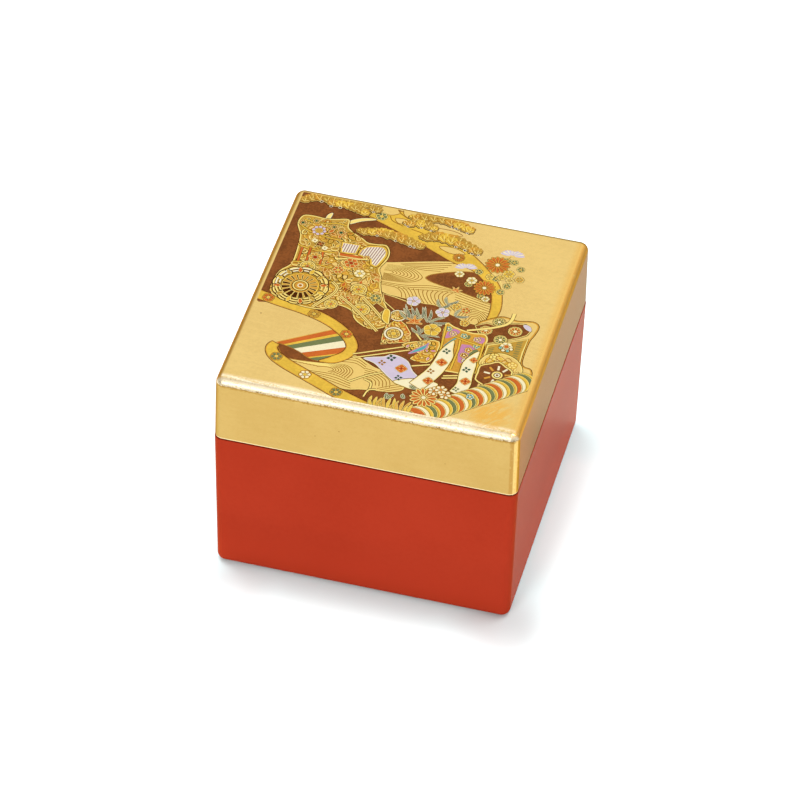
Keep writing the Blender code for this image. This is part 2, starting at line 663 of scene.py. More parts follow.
(
    BROWN, YELLOW, PALE_GOLD, OLIVE, OLD_GOLD, LINE_GOLD, WAVE, INK, RUST,
    ORANGE, RED, CREAM, LAVENDER, PINK, TURQUOISE, GREEN, DEEP_GREEN,
) = Pigment


# Modelling in edit mode


def pick(piece: bpy.types.Object) -> None:
    """Select one object alone and make it active.

    Args:
        piece: The object.
    """
    bpy.ops.object.select_all(action="DESELECT")
    piece.select_set(True)
    bpy.context.view_layer.objects.active = piece


def round_edges(
    piece: bpy.types.Object,
    chosen: Callable[[bmesh.types.BMEdge], bool],
    radius: float,
    segments: int,
) -> None:
    """Round some edges of a piece.

    Args:
        piece: The piece.
        chosen: Says which edges.
        radius: The rounding's radius.
        segments: How many facets it has.
    """
    pick(piece)
    bpy.ops.object.mode_set(mode="EDIT")
    bpy.ops.mesh.select_mode(type="EDGE")
    bpy.ops.mesh.select_all(action="DESELECT")
    mesh = bmesh.from_edit_mesh(piece.data)
    for edge in mesh.edges:
        edge.select = chosen(edge)
    bmesh.update_edit_mesh(piece.data)
    bpy.ops.mesh.bevel(offset=radius, segments=segments, profile=0.5, clamp_overlap=False)
    bpy.ops.object.mode_set(mode="OBJECT")


def upright(edge: bmesh.types.BMEdge) -> bool:
    """Tell whether an edge climbs."""
    return abs(edge.verts[0].co.z - edge.verts[1].co.z) > SAME


def level_at(height: float) -> Callable[[bmesh.types.BMEdge], bool]:
    """Return a test for edges that lie flat at a height."""
    return lambda edge: all(abs(vertex.co.z - height) < SAME for vertex in edge.verts)


@dataclass
class Block:
    """A square block that tapers, with rounded corners and end edges.

    Attributes:
        low: The height of its lower face.
        high: The height of its upper face.
        half_low: Half its width at the lower face.
        half_high: Half its width at the upper face.
        corner: The radius of its four upright corners.
        lower: The radius of its lower edge, or 0.
        upper: The radius of its upper edge, or 0.
        segments: Facets in each large rounding.
    """

    low: float
    high: float
    half_low: float
    half_high: float
    corner: float
    lower: float = 0.0
    upper: float = 0.0
    segments: int = 16

    def build(self, name: str) -> bpy.types.Object:
        """Model the block from a cube.

        Args:
            name: The object's name.

        Returns:
            The block, with its place in its mesh.
        """
        bpy.ops.object.select_all(action="DESELECT")
        middle = (self.low + self.high) / 2
        bpy.ops.mesh.primitive_cube_add(size=1.0, location=(0.0, 0.0, middle))
        piece = bpy.context.object
        piece.name = name
        piece.data.name = name
        piece.scale = (2 * self.half_low, 2 * self.half_low, self.high - self.low)
        bpy.ops.object.transform_apply(location=True, rotation=True, scale=True)
        self._taper(piece)
        round_edges(piece, upright, self.corner, self.segments)
        if self.lower:
            round_edges(piece, level_at(self.low), self.lower, self.segments)
        if self.upper:
            round_edges(piece, level_at(self.high), self.upper, self.segments)
        return piece

    def _taper(self, piece: bpy.types.Object) -> None:
        """Bring the upper face to its own width.

        Args:
            piece: The block.
        """
        pick(piece)
        bpy.ops.object.mode_set(mode="EDIT")
        bpy.ops.mesh.select_mode(type="FACE")
        bpy.ops.mesh.select_all(action="DESELECT")
        mesh = bmesh.from_edit_mesh(piece.data)
        for face in mesh.faces:
            face.select = face.normal.z > 0.9
        bmesh.update_edit_mesh(piece.data)
        ratio = self.half_high / self.half_low
        bpy.ops.transform.resize(value=(ratio, ratio, 1.0), center_override=(0.0, 0.0, self.high))
        bpy.ops.object.mode_set(mode="OBJECT")


def combine(piece: bpy.types.Object, tool: bpy.types.Object, operation: str) -> None:
    """Join or cut a piece with another, which is used up.

    Args:
        piece: The piece that stays.
        tool: The one that is used up.
        operation: UNION or DIFFERENCE.
    """
    pick(piece)
    modifier = piece.modifiers.new("combine", "BOOLEAN")
    modifier.operation = operation
    modifier.solver = "EXACT"
    modifier.object = tool
    bpy.ops.object.modifier_apply(modifier=modifier.name)
    bpy.data.objects.remove(tool, do_unlink=True)


def finish_shell(piece: bpy.types.Object, material: bpy.types.Material) -> None:
    """Shade a shell smooth, with its flat faces kept flat, and give it its lacquer.

    Args:
        piece: The shell.
        material: Its lacquer.
    """
    pick(piece)
    bpy.ops.object.shade_smooth_by_angle(angle=SMOOTH_BELOW)
    modifier = piece.modifiers.new("even_normals", "WEIGHTED_NORMAL")
    modifier.keep_sharp = True
    modifier.weight = 100
    bpy.ops.object.modifier_apply(modifier=modifier.name)
    piece.data.materials.clear()
    piece.data.materials.append(material)


# The two shells


@dataclass
class BoxShape:
    """The sizes that the two shells share with the solids.

    Attributes:
        seam_half: Half the width at the lower box's shoulder.
        shoulder: The shoulder's height.
        lid_low: The height of the lid's rim.
        lid_high: The height of the lid's top.
        lid_half: Half the lid's width at its rim.
        lip_top: The height of the lip inside the lid.
        body_draft: How far the lower box leans in for each unit of height.
        lid_draft: The same for the lid.
        wall: The lower box's wall.
        floor: The thickness of its floor.
        lid_wall: The lid's wall.
        lid_top: The thickness of the lid's top.
        lip: The lip's thickness.
        play: The gap between lip and lid.
        seam_gap: The gap between the lid's rim and the shoulder.
        corner: The radius of the upright corners.
        foot: The radius of the lower box's bottom edge.
        brow: The radius of the lid's top edge.
        shoulder_edge: The radius of the shoulder's edge.
        rim_edge: The radius of the lid's rim and of the lip.
        inner_corner: The radius of the upright corners inside.
        inner_edge: The radius of the level corners inside.
        lip_facets: Facets in each of the lip's roundings.
        inner_facets: Facets in each rounding inside.
        overrun: How far a block that joins or cuts runs past the face that it meets.
        seam_shut: How much of the gap between lid and shoulder the shells close.
        skin: How far the skin of paint stands above the shell below it.
    """

    seam_half: float
    shoulder: float
    lid_low: float
    lid_high: float
    lid_half: float
    lip_top: float
    body_draft: float = 0.0124
    lid_draft: float = 0.0107
    wall: float = 0.0040
    floor: float = 0.0040
    lid_wall: float = 0.0036
    lid_top: float = 0.0038
    lip: float = 0.0017
    play: float = 0.0003
    seam_gap: float = 0.0003
    corner: float = 0.0030
    foot: float = 0.0027
    brow: float = 0.0026
    shoulder_edge: float = 0.0004
    rim_edge: float = 0.0005
    inner_corner: float = 0.0020
    inner_edge: float = 0.0015
    lip_facets: int = 6
    inner_facets: int = 8
    overrun: float = 0.0020
    seam_shut: float = 0.0002
    skin: float = 0.00002

    @classmethod
    def of_frame(cls) -> "BoxShape":
        """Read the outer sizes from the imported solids.

        Returns:
            The sizes.
        """
        body_low, body_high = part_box("box_body")
        lid_low, lid_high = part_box("box_lid")
        return cls(
            seam_half=body_high.x,
            shoulder=lid_low.z - cls.seam_gap,
            lid_low=lid_low.z,
            lid_high=lid_high.z,
            lid_half=lid_high.x,
            lip_top=body_high.z,
        )

    def lid_half_at(self, height: float) -> float:
        """Return half the lid's width at a height."""
        return self.lid_half - self.lid_draft * (height - self.lid_low)

    def body_half_at(self, height: float) -> float:
        """Return half the lower box's width at a height."""
        return self.seam_half - self.body_draft * (self.shoulder - height)

    @property
    def flat_half(self) -> float:
        """Half the width of the lid's flat top."""
        return self.lid_half_at(self.lid_high) - self.brow


@dataclass
class Shells:
    """The red lower box and the gold lid."""

    shape: BoxShape
    red: RedLacquer = RedLacquer(
        "red_lacquer", roughness=0.16, metallic=0.17, ior=1.02, edge=(1.0, 0.80, 0.50, 1.0)
    )
    gold: GoldLacquer = GoldLacquer(
        "gold_lacquer", roughness=0.14, metallic=1.0, edge=(0.50, 0.36, 0.29, 1.0)
    )

    def __post_init__(self) -> None:
        """Make the gold, which the lid and the bare parts of the skin share."""
        self.leaf = self.gold.material()

    def build_body(self) -> bpy.types.Object:
        """Model the lower box: a block with a lip on it, hollowed out.

        Returns:
            The lower box.
        """
        s = self.shape
        high = s.shoulder + s.seam_shut
        block = Block(0.0, high, s.body_half_at(0.0), s.seam_half, s.corner, s.foot, s.shoulder_edge)
        body = block.build("red_lower_box")
        half, low = s.seam_half - s.wall + s.lip, s.shoulder - s.overrun
        lip = Block(low, s.lip_top, half, half, s.inner_corner, 0.0, s.rim_edge, s.lip_facets)
        combine(body, lip.build("lip"), "UNION")
        top = s.lip_top + s.overrun
        halves = (s.body_half_at(s.floor) - s.wall, s.body_half_at(top) - s.wall)
        hollow = Block(s.floor, top, *halves, s.inner_corner, s.inner_edge, 0.0, s.inner_facets)
        combine(body, hollow.build("hollow"), "DIFFERENCE")
        finish_shell(body, self.red.material())
        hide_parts("box_body")
        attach(body, "root")
        return body

    def build_lid(self) -> bpy.types.Object:
        """Model the lid: a block with a rebate for the lip, hollowed out.

        Returns:
            The lid.
        """
        s = self.shape
        halves = (s.lid_half, s.lid_half_at(s.lid_high))
        block = Block(s.lid_low, s.lid_high - s.skin, *halves, s.corner, s.rim_edge, s.brow)
        lid = block.build("gold_lid")
        half, low = s.seam_half - s.wall + s.lip + s.play, s.lid_low - s.overrun
        rebate = Block(low, s.lip_top + s.play, half, half, s.inner_corner, segments=s.inner_facets)
        combine(lid, rebate.build("rebate"), "DIFFERENCE")
        top = s.lid_high - s.lid_top
        halves = (s.lid_half_at(low) - s.lid_wall, s.lid_half_at(top) - s.lid_wall)
        hollow = Block(low, top, *halves, s.inner_corner, 0.0, s.inner_edge, s.inner_facets)
        combine(lid, hollow.build("hollow"), "DIFFERENCE")
        finish_shell(lid, self.leaf)
        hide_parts("box_lid")
        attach(lid, "root")
        return lid

    def build_picture(self) -> bpy.types.Object:
        """Lay the skin of paint on the lid.

        Returns:
            The skin.
        """
        s = self.shape
        skin = Skin(s.flat_half / MM, (s.corner - s.brow) / MM, s.lid_high)
        picture = skin.build(LidPainting().compose(), self.leaf)
        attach(picture, "root")
        return picture


# Outlines, in millimetres on the lid


def curve(points: Sequence[Point], closed: bool = True, steps: int = 5) -> Path:
    """Draw a smooth line through some points.

    Args:
        points: The points.
        closed: Whether it comes round to its start.
        steps: How many steps there are from one point to the next.

    Returns:
        The line's points.
    """
    count = len(points)
    drawn = []
    for span in range(count if closed else count - 1):
        if closed:
            a, b, c, d = (points[(span + k) % count] for k in (-1, 0, 1, 2))
        else:
            a, b, c, d = (points[min(max(span + k, 0), count - 1)] for k in (-1, 0, 1, 2))
        for step in range(steps):
            t = step / steps
            spot = []
            for p, q, r, s in zip(a, b, c, d):
                bend = 2 * p - 5 * q + 4 * r - s + t * (3 * (q - r) + s - p)
                spot.append(q + 0.5 * t * (r - p + t * bend))
            drawn.append(tuple(spot))
    if not closed:
        drawn.append(tuple(points[-1]))
    return drawn


def arc(centre: Point, radii: Point, start: float, end: float, count: int = 12) -> Path:
    """Draw part of an ellipse, with angles in degrees.

    Args:
        centre: Its middle.
        radii: Its half width and half height.
        start: Where it starts.
        end: Where it ends.
        count: How many steps it has.

    Returns:
        The arc's points.
    """
    angles = [math.radians(start + (end - start) * step / count) for step in range(count + 1)]
    return [(centre[0] + radii[0] * math.cos(a), centre[1] + radii[1] * math.sin(a)) for a in angles]


def circle(centre: Point, radius: float, count: int = 16) -> Path:
    """Draw a circle."""
    return arc(centre, (radius, radius), 0.0, 360.0 * (count - 1) / count, count - 1)


def placed(outline: Sequence[Point], place: Point, turn: float = 0.0, size: float = 1.0) -> Path:
    """Turn an outline by some degrees, scale it and move it to a place."""
    c, s = size * math.cos(math.radians(turn)), size * math.sin(math.radians(turn))
    return [(place[0] + c * x - s * y, place[1] + s * x + c * y) for x, y in outline]


def grown(outline: Sequence[Point], distance: float) -> Path:
    """Move a closed outline outwards, or inwards where the distance is negative.

    Args:
        outline: The outline.
        distance: How far each point moves.

    Returns:
        The new outline.
    """
    points = np.array(outline)
    before, after = points - np.roll(points, 1, axis=0), np.roll(points, -1, axis=0) - points
    area = np.sum(points[:, 0] * after[:, 1] - points[:, 1] * after[:, 0])
    along = before / np.maximum(np.linalg.norm(before, axis=1, keepdims=True), 1e-9)
    along = along + after / np.maximum(np.linalg.norm(after, axis=1, keepdims=True), 1e-9)
    along /= np.maximum(np.linalg.norm(along, axis=1, keepdims=True), 0.5)
    out = np.stack([along[:, 1], -along[:, 0]], axis=1) * (1.0 if area > 0 else -1.0)
    return [tuple(point) for point in points + out * distance]


def band(path: Sequence[Point], width: Width) -> Path:
    """Draw a strip along a path.

    Args:
        path: Its middle line.
        width: Its width.

    Returns:
        The strip's outline.
    """
    points = np.array(path)
    way = np.gradient(points, axis=0)
    way /= np.maximum(np.linalg.norm(way, axis=1, keepdims=True), 1e-9)
    side = np.stack([-way[:, 1], way[:, 0]], axis=1)
    shares = np.linspace(0.0, 1.0, len(points))
    half = np.array([(width(s) if callable(width) else width) / 2 for s in shares])[:, None]
    left, right = points + side * half, points - side * half
    return [tuple(point) for point in (*left, *right[::-1])]


def along(path: Sequence[Point], share: float) -> Point:
    """Find the point at a share of a path's length.

    Args:
        path: The path.
        share: The share, 0 to 1.

    Returns:
        The point.
    """
    points = np.array(path)
    steps = np.linalg.norm(np.diff(points, axis=0), axis=1)
    reach = np.concatenate([[0.0], np.cumsum(steps)])
    target = share * reach[-1]
    return tuple(float(np.interp(target, reach, points[:, i])) for i in (0, 1))


def spread(path: Sequence[Point], count: int) -> Path:
    """Return points at even steps along a path."""
    return [along(path, step / (count - 1)) for step in range(count)]


def covers(outline: Sequence[Point], point: Point) -> bool:
    """Tell whether an outline holds a point.

    Args:
        outline: The outline.
        point: The point.

    Returns:
        Whether the point lies inside.
    """
    inside = False
    for (x0, y0), (x1, y1) in zip(outline, (*outline[1:], outline[0])):
        if (y0 > point[1]) != (y1 > point[1]):
            inside ^= point[0] < x0 + (point[1] - y0) * (x1 - x0) / (y1 - y0)
    return inside


def clipped(path: Sequence[Point], outline: Sequence[Point]) -> list[Path]:
    """Cut a path to what lies inside an outline.

    Args:
        path: The path.
        outline: The outline.

    Returns:
        The runs, of two points or more.
    """
    runs: list[Path] = [[]]
    for point in path:
        if covers(outline, point):
            runs[-1].append(point)
        elif runs[-1]:
            runs.append([])
    return [run for run in runs if len(run) > 1]


class Motif(Protocol):
    """Anything that can be painted on the lid."""

    def paint(self, picture: "Picture") -> None:
        """Lay its shapes on the picture."""


@dataclass
class Picture:
    """The shapes of paint on the lid, in the order in which the brush lays them."""

    shapes: list[tuple[Path, Pigment]] = field(default_factory=list)

    def lay(self, *motifs: Motif) -> None:
        """Paint some motifs, one after the other."""
        for motif in motifs:
            motif.paint(self)

    def fill(self, outline: Path, pigment: Pigment) -> None:
        """Fill an outline."""
        self.shapes.append((outline, pigment))

    def line(self, path: Path, *coats: tuple[Width, Pigment]) -> None:
        """Draw a line in one or more coats, each given as its width and its paint."""
        for width, pigment in coats:
            self.fill(band(path, width), pigment)

    def edged(
        self, outline: Path, pigment: Pigment, rim: Pigment = LINE_GOLD, width: float = 0.34,
        ink: float = 0.24, shade: Pigment = INK,
    ) -> None:
        """Fill an outline and run a bright rim round it, with a dark hairline outside.

        Args:
            outline: The rim's middle.
            pigment: The paint inside.
            rim: The rim's paint.
            width: The rim's width.
            ink: The hairline's width, or 0.
            shade: The hairline's paint.
        """
        if ink:
            self.fill(grown(outline, width / 2 + ink), shade)
        self.fill(grown(outline, width / 2), rim)
        self.fill(grown(outline, -width / 2), pigment)

    def waves(self, region: Path, *bundles: tuple[Sequence[Point], Sequence[Point], int]) -> None:
        """Draw bundles of lines, each with a bright line beside it as its painted highlight.

        Args:
            region: What the lines stay inside.
            bundles: The first and the last guide line of each bundle, and how many lines it has.
        """
        for first, last, count in bundles:
            for number in range(count):
                share = number / max(count - 1, 1)
                guide = [
                    (a[0] + (b[0] - a[0]) * share, a[1] + (b[1] - a[1]) * share)
                    for a, b in zip(first, last)
                ]
                for run in clipped(curve(guide, closed=False, steps=6), region):
                    # The bright line is a painted highlight, as on a raised line
                    self.line(placed(run, (0.08, 0.26)), (0.21, LINE_GOLD))
                    self.line(run, (0.3, WAVE))


# Motifs


@dataclass
class Blossom:
    """A flower seen from above.

    Attributes:
        place: Its middle.
        radius: Its size.
        colour: The petals' paint.
        petals: How many petals it has.
        heart: The paint of its middle.
        rim: The paint round each petal.
        core: The size of its middle, as a share of its size.
        turn: How far it is turned, in degrees.
        slim: How slim a petal is, as a share of the room that it has.
        pointed: Whether the petals end in a point.
        shade: The paint of the hairline round each petal.
    """

    place: Point
    radius: float
    colour: Pigment = ORANGE
    petals: int = 6
    heart: Pigment = YELLOW
    rim: Pigment = LINE_GOLD
    core: float = 0.3
    turn: float = 0.0
    slim: float = 1.0
    pointed: bool = False
    shade: Pigment = INK

    def paint(self, picture: Picture) -> None:
        """Lay the petals, then the middle.

        Args:
            picture: The picture.
        """
        half = self.slim * math.tan(math.pi / self.petals) * (0.55 if self.pointed else 0.72)
        tip = [(1.0, 0.0)] if self.pointed else [(0.93, -half * 0.5), (1.0, 0.0), (0.93, half * 0.5)]
        right = [(0.08, 0.0), (0.45, -half * 0.62), (0.78, -half * 0.95)]
        left = [(0.78, half * 0.95), (0.45, half * 0.62)]
        petal = curve([*right, *tip, *left], steps=2)
        for number in range(self.petals):
            turn = self.turn + 360.0 * number / self.petals
            outline = placed(petal, self.place, turn, self.radius)
            picture.edged(outline, self.colour, self.rim, 0.18 + 0.03 * self.radius, 0.13, self.shade)
        heart = circle(self.place, self.core * self.radius, 10)
        picture.edged(heart, self.heart, LINE_GOLD, 0.14, 0.16, self.shade)


@dataclass
class Leaf:
    """A slim leaf between two points.

    Attributes:
        start: Where it grows from.
        end: Its tip.
        width: Its width.
        bend: How far its middle stands to the left of the straight line.
        colour: Its paint.
        rim: The paint round it.
    """

    start: Point
    end: Point
    width: float = 1.0
    bend: float = 0.0
    colour: Pigment = GREEN
    rim: Pigment = CREAM

    def paint(self, picture: Picture) -> None:
        """Lay the blade and its vein.

        Args:
            picture: The picture.
        """
        dx, dy = self.end[0] - self.start[0], self.end[1] - self.start[1]
        length = math.hypot(dx, dy)
        x = (self.start[0] + self.end[0]) / 2 - dy / length * self.bend
        y = (self.start[1] + self.end[1]) / 2 + dx / length * self.bend
        spine = curve([self.start, (x, y), self.end], closed=False, steps=4)
        blade = band(
            spine,
            lambda s: self.width * math.sin(math.pi * min(0.06 + 0.94 * s, 0.99)) ** 0.8,
        )
        picture.edged(blade, self.colour, self.rim, width=0.13, ink=0.12)
        picture.line(spine[1:-1], (0.09, self.rim))


@dataclass
class MapleLeaf:
    """A leaf with five pointed lobes, each with a vein."""

    lobes = tuple(math.radians(90.0 + 52.0 * number) for number in range(-2, 3))
    reaches = (0.75, 0.95, 1.0, 0.95, 0.75)

    place: Point
    radius: float
    turn: float = 0.0
    colour: Pigment = ORANGE
    rim: Pigment = LINE_GOLD

    def paint(self, picture: Picture) -> None:
        """Lay the leaf and its veins.

        Args:
            picture: The picture.
        """
        outline = []
        for lobe, reach in zip(self.lobes, self.reaches):
            for offset, share in (
                (-0.32, 0.42), (-0.12, 0.72), (0.0, reach), (0.12, 0.72), (0.32, 0.42),
            ):
                outline.append((share * math.cos(lobe + offset), share * math.sin(lobe + offset)))
        spot = (self.place, self.turn, self.radius)
        picture.edged(placed(outline, *spot), self.colour, self.rim, 0.16, 0.08)
        for lobe in self.lobes:
            tip = (0.7 * math.cos(lobe), 0.7 * math.sin(lobe))
            picture.line(placed([(0.0, -0.1), tip], *spot), (0.1, self.rim))


@dataclass
class Rings:
    """Rings of paint inside one another, from the outside in."""

    place: Point
    radii: Sequence[float]
    pigments: Sequence[Pigment]

    def paint(self, picture: Picture) -> None:
        """Lay each ring on the last."""
        for radius, pigment in zip(self.radii, self.pigments):
            picture.fill(circle(self.place, radius, 12 + int(radius * 4)), pigment)


@dataclass
class Clover:
    """Four small lozenges round a point."""

    place: Point
    size: float
    pigment: Pigment
    turn: float = 0.0

    def paint(self, picture: Picture) -> None:
        """Lay the four lozenges.

        Args:
            picture: The picture.
        """
        lozenge = [(1.0, 0.0), (0.55, 0.36), (0.12, 0.0), (0.55, -0.36)]
        for quarter in range(4):
            picture.fill(
                placed(lozenge, self.place, self.turn + 90.0 * quarter, self.size),
                self.pigment,
            )


@dataclass
class Lozenge:
    """A four-cornered flower: a lozenge with bowed sides, quartered by fine lines."""

    place: Point
    size: float
    turn: float = 0.0
    colour: Pigment = ORANGE
    heart: Pigment = RED

    def paint(self, picture: Picture) -> None:
        """Lay the lozenge, its quarters and its middle.

        Args:
            picture: The picture.
        """
        reaches = (1.0, 0.82, 0.78, 0.82) * 4
        outline = [
            placed([(reach, 0.0)], (0.0, 0.0), 22.5 * step)[0]
            for step, reach in enumerate(reaches)
        ]
        picture.edged(
            placed(outline, self.place, self.turn, self.size),
            self.colour,
            width=0.16,
            ink=0.1,
        )
        for quarter in range(4):
            line = placed(
                [(0.15, 0.0), (0.7, 0.0)], self.place, self.turn + 45.0 + 90.0 * quarter, self.size,
            )
            picture.line(line, (0.12, LINE_GOLD))
        picture.fill(placed(outline, self.place, self.turn, self.size * 0.3), self.heart)


@dataclass
class Brocade:
    """Small ornaments strewn evenly over a region.

    Attributes:
        region: What they stay inside.
        pitch: How far apart they stand.
        seed: Which strewing it is.
        colours: The paints of the flowers.
        lines: The paints of the strokes between them.
    """

    region: Path
    pitch: float
    seed: int
    colours: Sequence[Pigment]
    lines: Sequence[Pigment] = (LINE_GOLD, YELLOW, PALE_GOLD)

    def paint(self, picture: Picture) -> None:
        """Strew the ornaments.

        Args:
            picture: The picture.
        """
        chance = random.Random(self.seed)
        xs, ys = [p[0] for p in self.region], [p[1] for p in self.region]
        row = 0
        y = min(ys)
        while y < max(ys):
            x = min(xs) + (self.pitch / 2 if row % 2 else 0.0)
            while x < max(xs):
                spot = (
                    x + chance.uniform(-0.2, 0.2) * self.pitch,
                    y + chance.uniform(-0.2, 0.2) * self.pitch,
                )
                if covers(self.region, spot):
                    self._ornament(picture, chance, spot)
                x += self.pitch
            y += self.pitch * 0.82
            row += 1

    def _ornament(self, picture: Picture, chance: random.Random, spot: Point) -> None:
        """Paint one ornament: a petal, a flower, scrolls or a dark gap.

        Args:
            picture: The picture.
            chance: Where the unevenness comes from.
            spot: Where it goes.
        """
        kind = chance.random()
        size = self.pitch * chance.uniform(0.46, 0.62)
        turn = chance.uniform(0.0, 360.0)
        line = chance.choice(self.lines)
        colour = chance.choice(self.colours)
        shade = chance.choice((RUST, WAVE, INK))
        if kind < 0.28:
            petal = curve([(1.0, 0.0), (0.1, 0.6), (-0.9, 0.1), (0.1, -0.45)], steps=2)
            picture.edged(placed(petal, spot, turn, size * 1.1), colour, line, 0.26, 0.28, shade)
        elif kind < 0.44:
            picture.lay(Blossom(spot, size * 1.15, colour, 5, LINE_GOLD, line, turn=turn, shade=shade))
        elif kind < 0.84:
            hook = arc((0.0, 0.0), (1.0, 0.7), 10.0, 200.0, 6)
            for half_turn in (0.0, 180.0):
                scroll = placed(hook, spot, turn + half_turn, size)
                picture.line(scroll, (lambda s: 0.95 * math.sin(math.pi * (0.12 + 0.8 * s)), shade))
                lit = placed(scroll, (0.06, 0.16))
                picture.line(lit, (lambda s: 0.55 * math.sin(math.pi * (0.12 + 0.8 * s)), line))
        else:
            gap = curve([(1.0, 0.0), (0.0, 0.42), (-1.0, 0.0), (0.0, -0.3)], steps=2)
            picture.edged(placed(gap, spot, turn, size * 0.8), INK, LINE_GOLD, 0.2, 0.0)


# The picture's parts, from the ground up


@dataclass
class Ground:
    """The brown ground, the yellow mist over it and the open water in it."""

    def paint(self, picture: Picture) -> None:
        """Lay the ground, the mist and the two stretches of water.

        Args:
            picture: The picture.
        """
        brown = [
            (-50, 49), (-32, 49), (-22, 43), (-8, 37), (4, 31), (14, 27), (27, 18), (28, 2), (30, -2),
            (31, -31), (24, -40), (16, -49), (-4, -49), (-12, -44), (-28, -37), (-35, -32), (-34, -27),
            (-14, -30), (-12, -23), (-14, -18), (-22, -12), (-38, -8), (-50, -5),
        ]
        picture.fill(curve(brown), BROWN)
        self._water_above(picture)
        self._mist(picture)
        self._water_below(picture)

    def _mist(self, picture: Picture) -> None:
        """Lay the yellow mist that comes down from the top and round on the right.

        Args:
            picture: The picture.
        """
        outer = [
            (-24, 49), (-14, 46.5), (-8, 44.5), (-2, 41), (6, 37), (12, 33.4), (18, 28.6), (24, 22.4),
            (27.5, 17), (29.3, 10), (29.3, 5), (28.2, 0.3),
        ]
        inner = [
            (26.3, 0.3), (26.6, 6), (25.8, 12), (24.4, 16), (21, 20.5), (16, 24.5), (9.4, 26.4),
            (5, 28.4), (0, 30.9), (-6, 33.6), (-12, 36.4), (-18, 39), (-23, 41), (-26, 44), (-30, 49),
        ]
        mist = [*curve(outer, closed=False), *curve(inner, closed=False)]
        picture.edged(mist, YELLOW, OLD_GOLD, width=0.3, ink=0.2)
        for pale in (
            [(-21, 45.6), (-19, 47.6), (-15.4, 47.8), (-13.6, 45.4), (-16.4, 43.6), (-19.6, 44)],
            [(-12.6, 47.8), (-8.4, 47.4), (-8.8, 43.6), (-12, 44.8)],
            [(-14.4, 42.6), (-10.6, 42.8), (-10, 40.8), (-13, 40.4)],
            [(-2, 41.2), (5, 41.6), (9, 40), (4, 38.8), (-1, 39)],
            [(3, 33), (8, 33.4), (12, 31.4), (8, 30.4), (4.4, 31.4)],
        ):
            picture.edged(curve(pale, steps=3), PALE_GOLD, WAVE, 0.3, 0.0)
        picture.lay(Blossom((-19, 42.2), 1.9, GREEN))
        for stroke in (
            [(-15.2, 48), (-13.6, 45.6), (-10.4, 43.4)], [(-22.4, 43), (-23, 41.4), (-21, 40.6)],
            [(-16.4, 43.2), (-15, 41), (-11, 39.4)], [(-8, 38.6), (-4, 37.6), (-2.4, 35.4)],
        ):
            picture.line(curve(stroke, closed=False), (0.35, WAVE))

    def _water_above(self, picture: Picture) -> None:
        """Lay the stream behind the carriage, with its waves and the dark tongue in it.

        Args:
            picture: The picture.
        """
        stream = curve([
            (-16, 20), (-12, 20.2), (-6, 22), (0, 24), (6, 25.8), (12, 27), (20, 27), (27, 20), (28, 8),
            (28, 0), (22, -1), (17, 0.6), (13, 2.2), (9, 4.4), (5, 4.2), (1, 4.8), (-4, 5.2), (-8, 5.6),
            (-12, 8), (-15, 13),
        ])
        picture.edged(stream, PALE_GOLD, LINE_GOLD, width=0.2, ink=0.0)
        picture.waves(
            stream,
            (
                [(-7, 20.9), (-2, 22.6), (3, 24.2), (10, 26)],
                [(-4, 19.8), (-1, 20), (2, 20.2), (6.4, 21)], 5,
            ),
            (
                [(-11, 19.6), (-3.2, 19.8), (1.4, 16.4), (-2, 13), (-11, 11.8)],
                [(-11.4, 16.6), (-9.4, 16.8), (-8.2, 16.2), (-9.2, 15.2), (-11.2, 15.2)],
                9,
            ),
            (
                [(-11, 10.8), (-3, 11.2), (5, 13.2), (12, 13)],
                [(-11, 9.6), (-2, 9.6), (7, 11.4), (14, 12.2)], 3,
            ),
            (
                [(-6.5, 9.6), (-4.6, 8.8), (-3.2, 7.2), (-2.6, 5.2)],
                [(13, 12), (11.4, 9.6), (12.4, 6.4), (16, 3)],
                13,
            ),
            ([(13.5, 12.4), (20, 10.8), (27, 9.4)], [(14.4, 7.8), (20, 6.6), (27, 5)], 5),
            (
                [(17, 0.8), (18.6, 5), (23.4, 5.6), (27, 3)],
                [(21.6, 0.2), (22.2, 1.7), (23.5, 1.7), (24.2, 0.2)],
                6,
            ),
        )
        tongue = curve([
            (2.5, 16.8), (4.6, 19), (10, 21.6), (16, 23.4), (22, 23), (26.6, 18), (26.4, 11),
            (24.6, 10.4), (20, 11.6), (14, 13.2), (8, 14.3), (4, 15.4),
        ])
        picture.edged(tongue, BROWN, OLD_GOLD, width=0.15, ink=0.1)

